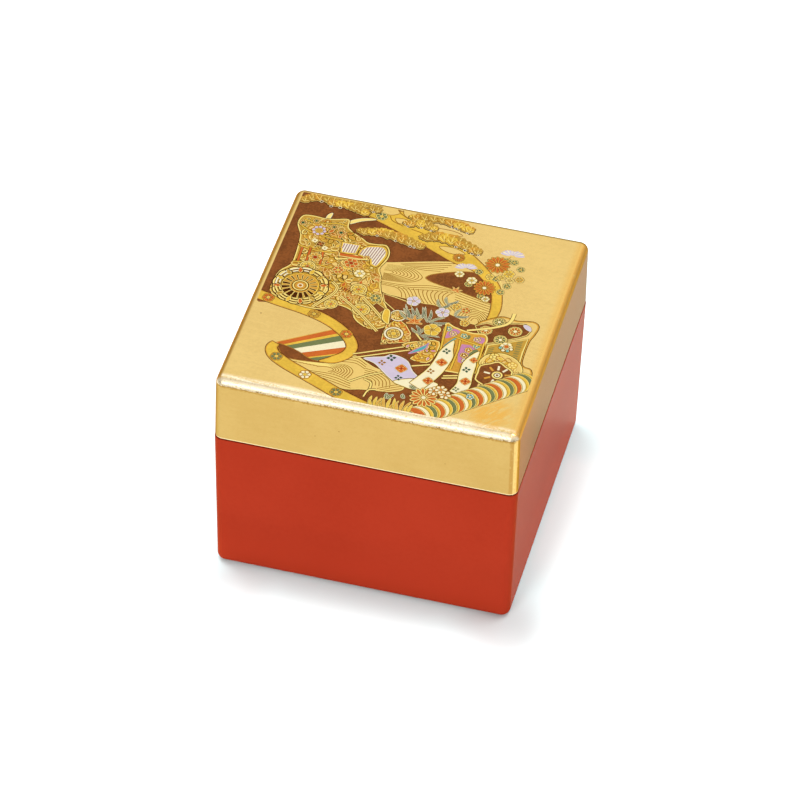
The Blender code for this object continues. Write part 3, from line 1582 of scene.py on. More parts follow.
    def _water_below(self, picture: Picture) -> None:
        """Lay the stream in the lower left.

        Args:
            picture: The picture.
        """
        stream = curve([
            (-34, -32.8), (-28, -32.6), (-20, -31.8), (-14.6, -30), (-10.5, -26.6), (-8.5, -26.4),
            (-5.5, -28.2), (-2, -30), (2, -31), (6, -33.4), (8.8, -35.8), (8.6, -37.8), (5, -39.6),
            (1, -40.2), (-4, -41), (-9, -42.2), (-16, -41), (-24, -38),
        ])
        picture.edged(stream, PALE_GOLD, LINE_GOLD, width=0.2, ink=0.1)
        picture.waves(
            stream,
            (
                [(-28, -34.2), (-19, -32.8), (-12, -31.2), (-8.4, -33.4), (-9.4, -37.4)],
                [(-20, -34.4), (-17, -33.8), (-15, -34), (-14.6, -34.9), (-16, -35.8)],
                8,
            ),
            ([(-22, -37), (-14, -36.6), (-8, -38.4)], [(-20, -38.6), (-13, -40), (-7, -41.4)], 4),
            ([(-13, -30), (-8.5, -29.6), (-5, -31.4)], [(-11, -27.4), (-8.4, -27.4), (-5, -29.4)], 3),
            (
                [(-5, -31), (-0.6, -31.8), (3.6, -34.2), (4.8, -38)],
                [(-4.4, -36), (-2.6, -35.6), (-1.4, -36.4), (-1, -38)],
                6,
            ),
            ([(1, -39.2), (5, -36.6), (8, -35)], [(3, -40), (6, -38.4), (8.6, -37)], 3),
        )
        for stem in (
            [(-8.6, -38.6), (-3.4, -34), (1.2, -31.2)], [(-4, -36), (-1.4, -37.4), (-1.4, -41.6)],
            [(-2.2, -44), (-1.4, -40.6), (0.8, -39.8)],
        ):
            path = curve(stem, closed=False)
            picture.line(path, (1.0, INK), (0.55, LINE_GOLD))


@dataclass
class LowerRibbon:
    """The yellow ribbon in the lower left, with the striped cloth that it turns round."""

    upper: Sequence[Point] = (
        (-50, -5.6), (-40, -7.8), (-30, -9.8), (-22, -12.6), (-15.6, -16.8), (-11.9, -21.8),
        (-12.4, -26.4), (-16, -30), (-20, -31.8),
    )
    lower: Sequence[Point] = (
        (-35.6, -27.4), (-36.3, -29.6), (-34.8, -32.6), (-30, -35.8), (-24, -38.6), (-17, -41.8),
        (-10, -45), (-2, -48), (6, -50.5),
    )
    stripes: Sequence[tuple[float, Pigment]] = (
        (0.13, ORANGE), (0.20, YELLOW), (0.35, GREEN), (0.53, CREAM), (0.70, ORANGE), (0.74, YELLOW),
        (0.90, GREEN), (1.0, CREAM),
    )

    def paint(self, picture: Picture) -> None:
        """Lay the stripes, the dark lens below them and the ribbon's two runs.

        Args:
            picture: The picture.
        """
        near = curve([
            (-35.6, -27), (-31, -28.2), (-26.6, -29.8), (-23, -31.6), (-19, -31.9),
        ], closed=False)
        far = curve([
            (-18, -15), (-14.6, -18.4), (-12.4, -22.4), (-13, -26.6), (-15.8, -29.8),
        ], closed=False)
        start = 0.0
        for end, pigment in self.stripes:
            outline = [along(near, start), along(far, start), along(far, end), along(near, end)]
            picture.fill(outline, pigment)
            start = end
        picture.line([along(near, 0.0), along(far, 0.0)], (0.3, OLD_GOLD))
        lens = curve([
            (-34.8, -27.4), (-31, -28), (-27, -29.5), (-23, -31.6), (-19.6, -31.8), (-14, -30),
            (-14.6, -31), (-20, -32.5), (-29.5, -33.2), (-32.8, -31.2),
        ])
        picture.edged(lens, BROWN, OLD_GOLD, width=0.12, ink=0.1)
        for points, width in (
            (self.upper, lambda s: 3.8 - 0.7 * s if s < 0.86 else 22.7 * (1.0 - s) + 0.1),
            (self.lower, lambda s: 2.6 + 5.0 * s if s < 0.3 else 4.1),
        ):
            picture.edged(band(curve(points, closed=False), width), YELLOW, OLD_GOLD, 0.34, 0.24)
        for place, colour in (
            ((-43.8, -6.9), ORANGE), ((-27.5, -10.5), OLIVE), ((-15, -17), ORANGE),
            ((-33.6, -33.4), GREEN), ((-22.6, -39.2), CREAM), ((-11, -44.4), GREEN),
        ):
            picture.lay(Blossom(place, 1.9, colour, rim=OLD_GOLD, turn=15.0))


@dataclass
class PineBough:
    """A bough of clustered needles.

    Attributes:
        path: The middle of the bough.
        depth: How far it stands up.
        seed: Which arrangement of clusters it is.
    """

    path: Sequence[Point]
    depth: float = 3.0
    seed: int = 1

    def paint(self, picture: Picture) -> None:
        """Lay the bough's shadow, its bright border and then each cluster of needles.

        Args:
            picture: The picture.
        """
        chance = random.Random(self.seed)
        path = curve(self.path, closed=False)
        length = sum(math.dist(a, b) for a, b in zip(path, path[1:]))
        fans = []
        for row, lift in enumerate((0.34, 0.0)):
            count = max(int(length / 2.3), 2) - row
            for number in range(count + 1):
                share = (number + 0.5 * row) / max(count, 1)
                x, y = along(path, min(share, 1.0))
                ends = 0.72 + 0.28 * math.sin(math.pi * min(share, 1.0))
                radius = self.depth * 0.46 * ends * chance.uniform(0.88, 1.12)
                spot = (x, y + lift * self.depth * ends)
                fans.append((spot, radius, self._fan(spot, radius, chance.uniform(-10, 10))))
        for _, _, fan in fans:
            picture.fill(placed(grown(fan, 0.16), (0.0, -0.26)), INK)
        for _, _, fan in fans:
            picture.fill(fan, LINE_GOLD)
        for spot, radius, fan in fans:
            self._needles(picture, spot, radius, fan, chance)

    def _fan(self, place: Point, radius: float, lean: float) -> Path:
        """Draw a cluster's scalloped outline.

        Args:
            place: The cluster's middle.
            radius: Its size.
            lean: How far it leans, in degrees.

        Returns:
            The outline.
        """
        lobes = 7
        outline = []
        for step in range(lobes * 3):
            angle = 2 * math.pi * step / (lobes * 3)
            bump = 1.0 + 0.12 * math.sin(lobes * angle)
            outline.append((1.25 * bump * math.cos(angle), bump * math.sin(angle)))
        return placed(outline, place, lean, radius)

    def _needles(
        self, picture: Picture, place: Point, radius: float, fan: Path, chance: random.Random,
    ) -> None:
        """Paint one cluster: its body, a few needles and sometimes a gap at its foot.

        Args:
            picture: The picture.
            place: The cluster's middle.
            radius: Its size.
            fan: Its outline.
            chance: Where the unevenness comes from.
        """
        picture.fill(placed(grown(fan, -0.04), (0.0, 0.1)), WAVE)
        body = chance.choice((OLIVE, OLIVE, OLD_GOLD, YELLOW))
        picture.fill(placed(grown(fan, -0.24), (0.0, 0.3)), body)
        foot = (place[0], place[1] - 0.5 * radius)
        for number in range(5):
            angle = math.radians(chance.uniform(-8, 8) + 18 + 36 * number)
            reach = radius * chance.uniform(0.6, 0.85)
            tip = (place[0] + 1.15 * reach * math.cos(angle), place[1] + reach * math.sin(angle))
            picture.line([foot, tip], (0.2, (LINE_GOLD, WAVE)[number % 2]))
        if chance.random() < 0.5:
            spot = (place[0] + chance.uniform(-0.6, 0.6) * radius, place[1] - 0.95 * radius)
            picture.edged(circle(spot, 0.3 * radius, 6), INK, CREAM, 0.2, 0.0)


@dataclass
class Wheel:
    """A carriage wheel with a wide scalloped rim, seen a little from above.

    Attributes:
        place: Its hub.
        radius: Its size.
        spokes: How many spokes it has.
    """

    place: Point
    radius: float
    spokes: int = 17

    def paint(self, picture: Picture) -> None:
        """Lay the rim, the gaps between the spokes and the hub.

        Args:
            picture: The picture.
        """
        r = self.radius
        rim = []
        for turn in range(0, 360, 5):
            reach = r * (1.0 + 0.022 * math.cos(math.radians(12 * turn)))
            rim.extend(placed([(reach, 0.0)], self.place, turn))
        picture.edged(rim, OLIVE, LINE_GOLD, 0.5, 0.4)
        for number in range(12):
            turn = 30.0 * number
            spot = placed([(0.85 * r, 0.0)], self.place, turn + 15.0)[0]
            petal = curve([(1.0, 0.0), (0.2, 0.55), (-0.8, 0.0), (0.2, -0.55)], steps=2)
            colour = (ORANGE, OLIVE, YELLOW)[number % 3]
            picture.edged(placed(petal, spot, turn + 15.0, 0.17 * r), colour, LINE_GOLD, 0.22, 0.3)
            for reach, half in ((0.93, 11.0), (0.80, 7.0)):
                stroke = arc(self.place, (reach * r, reach * r), turn - half, turn + half, 4)
                picture.line(stroke, (0.62, INK))
                lit = CREAM if 60 < turn < 200 else LINE_GOLD
                picture.line(placed(stroke, (0.06, 0.36)), (0.5, lit))
        picture.edged(circle(self.place, 0.68 * r, 40), OLD_GOLD, YELLOW, 0.4, 0.2)
        for number in range(self.spokes):
            turn = 360.0 * (number + 0.5) / self.spokes
            low = 0.5 - 0.5 * math.sin(math.radians(turn + 15.0))
            half = 0.032 + 0.082 * low * low
            reach = 0.58 + 0.14 * low
            near = 0.34 + 0.06 * low
            gap = [
                (near, -half * 0.6), (reach, -half), (reach + 0.02, 0.0), (reach, half),
                (near, half * 0.6),
            ]
            picture.edged(placed(gap, self.place, turn, r), INK, LINE_GOLD, 0.16, 0.0)
        picture.lay(Rings(
            self.place,
            (r * 0.33, r * 0.29, r * 0.24, r * 0.2, r * 0.11, r * 0.07),
            (INK, LINE_GOLD, WAVE, OLD_GOLD, CREAM, RUST),
        ))


@dataclass
class Carriage:
    """The tall carriage on the left: roof, blinds, brocade sides, wheels and gilt fittings."""

    flowers: Sequence[Pigment] = (ORANGE, OLD_GOLD, YELLOW, OLIVE, PALE_GOLD, RUST, OLIVE)

    def paint(self, picture: Picture) -> None:
        """Lay the body, then what stands in front of it.

        Args:
            picture: The picture.
        """
        self._body(picture)
        self._blinds(picture)
        self._fittings(picture)
        picture.lay(Wheel((-35.5, 1.6), 8.7))
        self._shafts(picture)

    def _body(self, picture: Picture) -> None:
        """Lay the horn and pole of the roof, then the whole body with its ornaments.

        Args:
            picture: The picture.
        """
        horn = curve([(-28.8, 36.6), (-26, 38.9), (-22, 40.2), (-20.4, 39.9), (-24.6, 38), (-28, 35.6)])
        picture.edged(horn, LINE_GOLD, CREAM, 0.15)
        pole = curve([(-36.4, 35), (-36.2, 37.8), (-35.2, 39.2), (-34.8, 38.6), (-35.3, 35)])
        picture.edged(pole, LINE_GOLD, CREAM, 0.2)
        mass = curve([
            (-44.3, 34.2), (-43.2, 35.8), (-40, 36.1), (-36.5, 35.8), (-33.2, 36.4), (-30, 37.5),
            (-28.7, 37), (-28.2, 33.7), (-25.6, 31.4), (-22.2, 29.5), (-20, 28), (-17, 28), (-14, 28.4),
            (-12.4, 26.4), (-11.8, 24), (-12, 21), (-13.2, 16.6), (-11.6, 12.8), (-10.8, 8.8), (-9, 4),
            (-6.4, -0.6), (-4, -4.4), (-3.6, -9.4), (-8, -12.4), (-12, -11), (-14.6, -8.8),
            (-16.6, -5.4), (-22.2, -4.1), (-25.6, -7.6), (-34, -7.6), (-43.2, -4.6), (-44.4, 1),
            (-43.8, 6.6), (-41.2, 10.8), (-41, 16), (-41.6, 22.6), (-42.2, 26.2), (-43.6, 29),
            (-44.5, 31.4),
        ], steps=3)
        picture.edged(mass, OLIVE, width=0.4)
        picture.lay(Brocade(grown(mass, -0.8), 2.15, 9, self.flowers))
        for eave in (
            [(-44.2, 31.4), (-40, 28.6), (-33, 27), (-28.2, 26.8)],
            [(-43.2, 33.8), (-38, 33.2), (-32, 34.6), (-28.8, 34.4)],
            [(-41.6, 21), (-36, 19.8), (-29, 20.2)],
            [(-41, 12.4), (-35, 13.2), (-27, 12.6)],
        ):
            path = curve(eave, closed=False)
            picture.line(path, (0.9, INK), (0.55, YELLOW))
        self._emblems(picture)

    def _emblems(self, picture: Picture) -> None:
        """Lay the larger flowers, lozenges and posts on the cabin.

        Args:
            picture: The picture.
        """
        picture.lay(Blossom((-36.9, 29.6), 2.5, LAVENDER, 8, OLIVE, OLD_GOLD, 0.5))
        for spot, size in (
            ((-43, 32), 1.3), ((-39, 34), 1.1), ((-29.7, 30.5), 1.4), ((-32.6, 32.6), 1.2),
        ):
            picture.lay(Blossom(spot, size, heart=DEEP_GREEN, core=0.5))
        picture.lay(
            Lozenge((-36.9, 24.4), 1.1, 20, CREAM, BROWN),
            Lozenge((-34.7, 23.2), 1.6, 35, BROWN, ORANGE),
            Lozenge((-32.8, 21.6), 1.1, 20, CREAM, BROWN),
        )
        for low, high in (
            ((-36.8, 13.4), (-37.2, 20.4)), ((-32.2, 13.2), (-32.8, 19.6)), ((-39.6, 13), (-39.9, 20)),
        ):
            picture.line([low, high], (1.0, INK), (0.7, ORANGE))
        picture.lay(Blossom((-34.6, 16.4), 2.2, OLD_GOLD, 8, RED, core=0.4))

    def _blinds(self, picture: Picture) -> None:
        """Lay the two pale slatted blinds over an orange rail.

        Args:
            picture: The picture.
        """
        rail = [(-27.6, 21.6), (-22, 21), (-16.8, 21.4), (-17, 19.6), (-22.6, 19.4), (-27.4, 19.2)]
        picture.edged(rail, ORANGE, width=0.4)
        left = [(-27.9, 26), (-22, 26.2), (-22.4, 21.7), (-24.6, 21.2), (-27.2, 21.2)]
        right = curve([
            (-21.3, 21.5), (-20.2, 25.6), (-17.4, 26.9), (-14.6, 27.3), (-13.2, 26), (-12.6, 23.4),
            (-13.4, 20), (-14.4, 17.4), (-16.4, 18.2), (-17, 20.4),
        ], steps=2)
        for blind, lean in ((left, 0.9), (right, 2.4)):
            picture.edged(blind, CREAM, YELLOW, 0.7)
            start = min(x for x, _ in blind)
            for number in range(14):
                x = start - 1.6 + 0.86 * number
                slat = spread([(x, 16.0), (x + lean, 28.4)], 60)
                for run in clipped(slat, grown(blind, -0.3)):
                    picture.line([run[0], run[-1]], (0.52, LAVENDER), (0.26, WAVE))
        picture.lay(Blossom((-18.4, 20.6), 1.1))
        picture.line(curve([(-28, 17.6), (-24, 18.6), (-18, 20)], closed=False), (0.55, LINE_GOLD))

    def _fittings(self, picture: Picture) -> None:
        """Lay the rings, leaves and flowers heaped under the blinds.

        Args:
            picture: The picture.
        """
        picture.lay(Blossom((-22.6, 16.8), 2.4, heart=RED, core=0.35), MapleLeaf((-12.4, 11), 2.1, -20))
        for place, radius in (
            ((-16.9, 5), 2.9), ((-13.6, -4.3), 3.1), ((-23.6, -4.4), 2.4), ((-35.8, 11.4), 2.8),
        ):
            picture.lay(
                Rings(place, (radius, radius * 0.93, radius * 0.8), (INK, LINE_GOLD, OLIVE)),
                Blossom(place, radius * 0.7, YELLOW, heart=ORANGE, turn=25),
            )
        for number in range(5):
            low = (-22.6 + 0.9 * number, 3.0 - 0.1 * number)
            picture.line([low, (low[0] + 0.5, low[1] + 1.5)], (0.4, BROWN))
        for place, colour in (
            ((-18.6, 12.6), CREAM), ((-25.8, 12.4), ORANGE), ((-19.6, -1), ORANGE),
            ((-10.6, 2.4), GREEN),
        ):
            picture.lay(Blossom(place, 1.8, colour, turn=12.0))
        picture.edged([
            (-8.8, 5.2), (-4.6, 4.6), (0.6, 3.4), (2.2, 0.6), (-2.2, -2.4), (-7.4, 1.6),
        ], BROWN)
        picture.edged([(-10.8, -1.8), (-9.6, 0.4), (-6.2, -1.8), (-7.2, -4.4)], BROWN)

    def _shafts(self, picture: Picture) -> None:
        """Lay the long gilt shafts that run down to the right.

        Args:
            picture: The picture.
        """
        for shaft in (
            [(-21.9, 0.2), (-16, -4), (-10, -9.4), (-6, -13)],
            [(-14.4, 1.4), (-10, -2.6), (-4.6, -8)],
            [(-26, 6.2), (-23.8, 4), (-24.2, 0.6), (-26.8, -3.6), (-29, -7.4)],
        ):
            path = curve(shaft, closed=False)
            picture.line(path, (1.35, INK), (1.0, LINE_GOLD), (0.25, WAVE))


@dataclass
class FlowerHeap:
    """The flowers and leaves in the middle, on a six-sided orange stand."""

    def paint(self, picture: Picture) -> None:
        """Lay the stand, the leaves and the flowers.

        Args:
            picture: The picture.
        """
        for low, high in (
            ((-10, -27.2), (15, -14.2)), ((-10.6, -25.6), (14, -12.6)), ((5, -9), (10.6, -15.4)),
        ):
            picture.line([low, high], (0.75, INK), (0.5, LINE_GOLD))
        stand = [
            (-3.8, -9.2), (-0.8, -5.4), (2.2, -7.6), (4.6, -11), (5.2, -15.2), (1.4, -16.6),
            (-3.2, -18.6), (-3.8, -14),
        ]
        picture.edged(stand, ORANGE, width=0.3)
        picture.lay(
            Brocade(grown(stand, -0.6), 1.5, 21, (OLD_GOLD, RED, ORANGE)),
            Rings((-0.6, -12.6), (3.3, 3.1, 2.5, 2.3), (INK, CREAM, INK, OLD_GOLD)),
            Blossom((-0.6, -12.6), 2.1, OLIVE, core=0.4),
        )
        ball = (-1.4, -3.8)
        picture.lay(
            Rings(ball, (2.9, 2.7, 2.3), (INK, CREAM, OLIVE)),
            Brocade(circle(ball, 2.0), 1.1, 4, (CREAM, ORANGE, BROWN)),
        )
        picture.edged(curve([(-6.2, -2), (-4.6, -2.4), (-3.8, -6.4), (-3.6, -8.6), (-6, -6.4)]), YELLOW)
        self._leaves(picture)
        self._flowers(picture)

    def _leaves(self, picture: Picture) -> None:
        """Lay the leaves, bundle by bundle.

        Args:
            picture: The picture.
        """
        bundles = (
            ((4.4, -6.4), (-0.4, 2.2), (1.8, 1.4)), ((8.4, -4.4), (6, 2.8), (8.2, 1.8)),
            ((9, -4.2), (13.4, -0.6), (15.4, -2.6)), ((3.2, -3), (-0.6, 0.2), (3.6, 0.4)),
            ((7.4, -11), (9, -6.6), (6.2, -7.4)), ((8, -11), (14, -10.2), (13.6, -12)),
            ((2.4, -4.8), (-1.6, -1.2), (0.2, 0.4)), ((6.4, -3.4), (3.4, 1.4), (5.2, 2.4)),
            ((9.4, -5.6), (13.4, -4.6), (12.8, -6.2)), ((6.2, -5.8), (5.6, -1.4), (2.6, -1.8)),
            ((7.2, -10.2), (4.2, -8.2), (5.4, -6.8)), ((9.6, -12.4), (14, -13.6), (12, -14.6)),
            ((16.2, 1), (17.4, 4.6), (20.6, 2)), ((11, 3.6), (9, 7.4), (13.4, 6.6)),
            ((12.6, 6), (11.4, 9.2), (15.6, 8.6)),
        )
        for root, *tips in bundles:
            for number, tip in enumerate(tips):
                colour = (GREEN, DEEP_GREEN)[number % 2]
                picture.lay(Leaf(root, tip, 0.9, (0.45, -0.45)[number % 2], colour))

    def _flowers(self, picture: Picture) -> None:
        """Lay the flowers on top of the leaves.

        Args:
            picture: The picture.
        """
        for place, turn in (((1.6, 4.4), 12), ((12, 1.6), 40)):
            picture.lay(Blossom(place, 2.3, LAVENDER, 5, PINK, CREAM, 0.14, turn, 1.15, True))
        picture.lay(
            MapleLeaf((4.4, -5.4), 3.5, 10),
            MapleLeaf((13.4, 13), 2.4, -15),
            Blossom((10.8, -7.4), 2.8, YELLOW, 5, WAVE, core=0.2, turn=20, slim=1.2, pointed=True),
        )
        for place, colour in (((19, 4.6), ORANGE), ((20, -1.4), OLD_GOLD), ((15.6, 5.6), OLD_GOLD)):
            picture.lay(Blossom(place, 1.5, colour, 5, turn=10))


@dataclass
class Chest:
    """The open chest on wheels on the right, with a cloth over its side."""

    def paint(self, picture: Picture) -> None:
        """Lay the chest, the wheel in front of it and the cloth.

        Args:
            picture: The picture.
        """
        self._box(picture)
        self._cloth(picture)
        self._wheel(picture)

    def _box(self, picture: Picture) -> None:
        """Lay the gilt frame, its dark inside and the panel below.

        Args:
            picture: The picture.
        """
        frame = curve([
            (24, -1.2), (28.6, 3.4), (31.6, 4.8), (36, 4), (41, 5), (43.2, 3.4), (42.8, -0.6),
            (41.9, -4), (41.7, -10), (42, -15), (43.4, -16.8), (45.6, -17.4), (45.4, -21), (34, -20),
            (29, -20), (29.6, -12), (28, -7),
        ], steps=3)
        picture.edged(frame, PALE_GOLD, OLD_GOLD, 0.5)
        inside = [
            (23.6, -1.6), (27, 0.6), (29.4, 0.2), (31.4, 3.4), (33.4, 2), (36.4, 3), (39.2, 3.3),
            (41.4, 1), (40.6, -1.6), (38.2, -3.6), (29.4, -8.8), (28.6, -6), (25.4, -4.6),
        ]
        picture.edged(inside, BROWN, width=0.3)
        discs = (
            ((36.6, -0.8), 2.5, ORANGE), ((27.4, -2.8), 2.3, ORANGE), ((33, -6), 2.4, GREEN),
            ((30.6, 2.2), 2.2, GREEN),
        )
        for place, radius, colour in discs:
            picture.lay(
                Rings(place, (radius, radius * 0.92, radius * 0.8), (INK, LINE_GOLD, colour)),
                Blossom(place, radius * 0.78, colour, 8, CREAM),
            )
        picture.lay(Leaf((38.6, 3), (41.4, 0.6), 1.8, 0.2, LAVENDER))
        panel = [(29.8, -9.6), (41.4, -3.4), (41.2, -10), (41.5, -16), (29.8, -16)]
        picture.edged(panel, OLIVE, width=0.5)
        for x in (31.2, 39.4):
            for step in range(12):
                y = -5.4 - 0.9 * step - (3.4 if x < 35 else 0.0)
                if covers(grown(panel, -0.9), (x, y)):
                    picture.line([(x - 0.9, y - 0.5), (x + 0.8, y + 0.5)], (0.3, GREEN))
        picture.lay(Blossom((35.6, -8.6), 2.0, CREAM, heart=ORANGE, core=0.4))
        for number in range(4):
            spot = placed([(1.9, 0.0)], (35.6, -8.8), 205.0 + 45.0 * number)[0]
            picture.edged(circle(spot, 0.55, 8), (TURQUOISE, CREAM)[number % 2], width=0.12)
        pole = curve([(34.4, 7.4), (34.2, 4), (32.8, 1.4), (28.6, -1.4), (21.6, -4.6)], closed=False)
        picture.line(pole, (lambda s: 1.5 - 0.5 * s, INK), (lambda s: 1.15 - 0.4 * s, LINE_GOLD))

    def _cloth(self, picture: Picture) -> None:
        """Lay the flowered cloth in its gilt borders.

        Args:
            picture: The picture.
        """
        cloth = curve([
            (14.4, -3.4), (17, -4), (20.4, -5), (24, -5.4), (27.6, -5), (29, -7.6), (28.4, -12),
            (28.2, -18), (28.6, -24), (22, -25), (16, -24), (15.4, -14),
        ], steps=3)
        picture.edged(cloth, OLD_GOLD, width=0.5, ink=0.14)
        for patch, pigment in (
            ([(16.4, -5), (19.8, -5.6), (18.6, -8), (16.4, -10), (15.6, -9.4)], PINK),
            ([(24.6, -7), (28, -6.6), (28, -9.4), (25, -9)], PINK),
            ([(21.6, -11.4), (27, -12.6), (26.6, -19), (22.4, -20)], PINK),
            ([(18.4, -9.6), (19.8, -8.4), (17, -14), (16.2, -13.6)], TURQUOISE),
            ([(26, -12.8), (27.6, -13), (26.8, -16.4), (24.8, -16)], GREEN),
            ([(20.6, -6.6), (23.4, -6.6), (23.2, -8.6), (20.8, -8.4)], GREEN),
        ):
            picture.edged(curve(patch, steps=2), pigment, OLD_GOLD, 0.12, 0.0)
        spots = (
            ((21.4, -7.4), TURQUOISE), ((25.8, -8), PINK), ((24.4, -13.6), ORANGE),
            ((23.6, -16.4), RED), ((24.6, -18.8), LAVENDER), ((15.8, -5.4), TURQUOISE),
            ((17.8, -7.4), PINK), ((26.4, -11), TURQUOISE),
        )
        for place, colour in spots:
            picture.lay(Blossom(place, 1.15, colour, 5, CREAM, core=0.28))
        for border in (
            [(14.6, -4), (15.4, -12), (16.2, -22)], [(20.6, -9), (21.2, -14), (21, -24)],
            [(18.6, -8.6), (23, -9.8), (28.4, -10.6)], [(28.4, -9), (28.6, -16), (29.4, -24)],
        ):
            picture.line(border, (0.9, INK), (0.62, YELLOW))
        corner = curve([
            (3.4, -17), (9, -13.6), (14.4, -12.4), (14.6, -19), (13, -23), (7.6, -22.6), (9.6, -19.4),
        ], steps=3)
        picture.edged(corner, OLD_GOLD, width=0.4)
        picture.lay(Brocade(grown(corner, -0.6), 1.6, 31, (OLD_GOLD, GREEN, PINK, YELLOW)))
        sash = curve([(6.4, -20.4), (8, -18), (10.6, -15), (11.4, -13.8), (10.8, -17), (8.2, -19.4)])
        picture.edged(sash, TURQUOISE, PINK, 0.35, 0.0)
        for low, high in (
            ((7.6, -26.4), (15, -23.4)), ((19.6, -27.6), (25.4, -25.8)), ((19.4, -28.8), (25.4, -27)),
        ):
            picture.line([low, high], (0.8, INK), (0.55, LINE_GOLD))

    def _wheel(self, picture: Picture) -> None:
        """Lay the dark wheel and the gilt arch over it.

        Args:
            picture: The picture.
        """
        arch = curve([
            (29.2, -18), (30.4, -14.6), (33, -12.8), (36.4, -12.4), (40.4, -14.2), (43, -18), (42, -21),
            (34, -20), (30.6, -20),
        ], steps=3)
        picture.edged(arch, PALE_GOLD, width=0.4)
        golds = (YELLOW, LINE_GOLD, PALE_GOLD)
        picture.lay(Brocade(grown(arch, -0.7), 2.3, 41, golds))
        hub = (36, -22.6)
        corners = [
            placed([(5.2 + 0.8 * (number % 2), 0.0)], (0.0, 0.0), 30.0 * number)[0]
            for number in range(12)
        ]
        outline = [(x, 1.1 * y) for x, y in curve(corners, steps=2)]
        picture.edged(placed(outline, (35, -23)), BROWN, LINE_GOLD, 0.5)
        for number in range(9):
            turn = 95.0 + 40.0 * number
            spoke = placed([(2.4, 0.0), (4.4, 0.0)], hub, turn)
            picture.line(spoke, (0.7, (CREAM, OLD_GOLD)[number % 2]))
        picture.lay(Rings(hub, (1.9, 1.75, 1.2, 0.9, 0.45), (INK, LINE_GOLD, INK, CREAM, BROWN)))


@dataclass
class Sashes:
    """The white sashes that hang over the chest, and the lavender sheet beside them."""

    def paint(self, picture: Picture) -> None:
        """Lay the sheet and the sashes, then their figures.

        Args:
            picture: The picture.
        """
        sheet = curve([
            (-6.8, -26.6), (-3.4, -25), (-0.6, -24), (1.4, -22.4), (4.6, -22.8), (7.4, -24.4),
            (9.6, -28), (12.4, -31), (10, -33.8), (6.6, -35), (3.4, -33.2), (0.4, -30.6), (-3, -27.8),
        ], steps=3)
        picture.edged(sheet, LAVENDER, CREAM, 0.25)
        fold = curve([
            (5.2, -34.4), (11, -31.6), (17, -31.4), (19, -32.4), (16, -35), (12.4, -36.4), (8.6, -35.8),
        ])
        picture.edged(fold, CREAM, LINE_GOLD, 0.2)
        first = curve([(18.8, -10.6), (18, -15), (17.8, -20), (16.2, -27), (12.4, -34.8)], closed=False)
        second = curve([
            (27.8, -13.4), (26.4, -18.4), (26.4, -25), (26.8, -30), (25.4, -34.6),
        ], closed=False)
        picture.edged(band(first, lambda s: 0.2 + 4.6 * min(s * 2.6, 1.0)), CREAM, width=0.25)
        picture.edged(band(second, lambda s: 0.2 + 4.0 * min(s * 3.2, 1.0)), CREAM, width=0.25)
        for place, size in (
            ((17.6, -21.6), 1.9), ((15.6, -31.2), 1.8), ((27, -28.2), 1.8), ((27.2, -17.8), 1.4),
            ((6, -28), 2.0),
        ):
            picture.lay(Lozenge(place, size, 8))
        for place, size, pigment in (
            ((17.8, -16), 1.5, DEEP_GREEN), ((26, -22.8), 1.5, DEEP_GREEN), ((15.3, -26.6), 1.4, WAVE),
            ((1.7, -24), 1.7, DEEP_GREEN), ((6.2, -32.4), 1.4, DEEP_GREEN), ((-0.6, -27), 1.4, WAVE),
            ((25, -32.6), 1.3, GREEN),
        ):
            picture.lay(Clover(place, size, pigment, 20))


@dataclass
class StripedRoll:
    """The rolled cloth in the lower right, striped round.

    Attributes:
        start: The middle of its lower end.
        end: The middle of its upper end.
        half: Half its width.
        bulge: How far each stripe bows towards the upper end.
        stripes: The share of one repeat that each stripe takes, and its paint.
        repeats: How many repeats there are.
    """

    start: Point = (14.5, -49.5)
    end: Point = (45.2, -23.0)
    half: float = 4.2
    bulge: float = 3.3
    stripes: Sequence[tuple[float, Pigment]] = (
        (0.26, ORANGE), (0.20, CREAM), (0.18, YELLOW), (0.22, GREEN), (0.14, YELLOW),
    )
    repeats: int = 6

    def paint(self, picture: Picture) -> None:
        """Lay the stripes from the upper end down, so that each covers the next one's foot.

        Args:
            picture: The picture.
        """
        dx, dy = self.end[0] - self.start[0], self.end[1] - self.start[1]
        length = math.hypot(dx, dy)
        turn = math.degrees(math.atan2(dy, dx))
        edges = [0.0]
        paints = []
        for _ in range(self.repeats):
            for share, pigment in self.stripes:
                edges.append(edges[-1] + share / self.repeats)
                paints.append(pigment)
        for low, high, pigment in reversed(list(zip(edges, edges[1:], paints))):
            bow = arc((high * length, 0.0), (self.bulge, self.half), -90.0, 90.0, 10)
            foot = arc((low * length - 1.0, 0.0), (self.bulge, self.half), 90.0, -90.0, 6)
            stripe = placed([*bow, *foot], self.start, turn)
            picture.fill(grown(stripe, 0.24), INK)
            picture.fill(grown(stripe, 0.1), LINE_GOLD)
            picture.fill(grown(stripe, -0.1), pigment)
        picture.lay(Blossom((30.2, -34.8), 1.2, TURQUOISE, 5, CREAM, CREAM, 0.25))


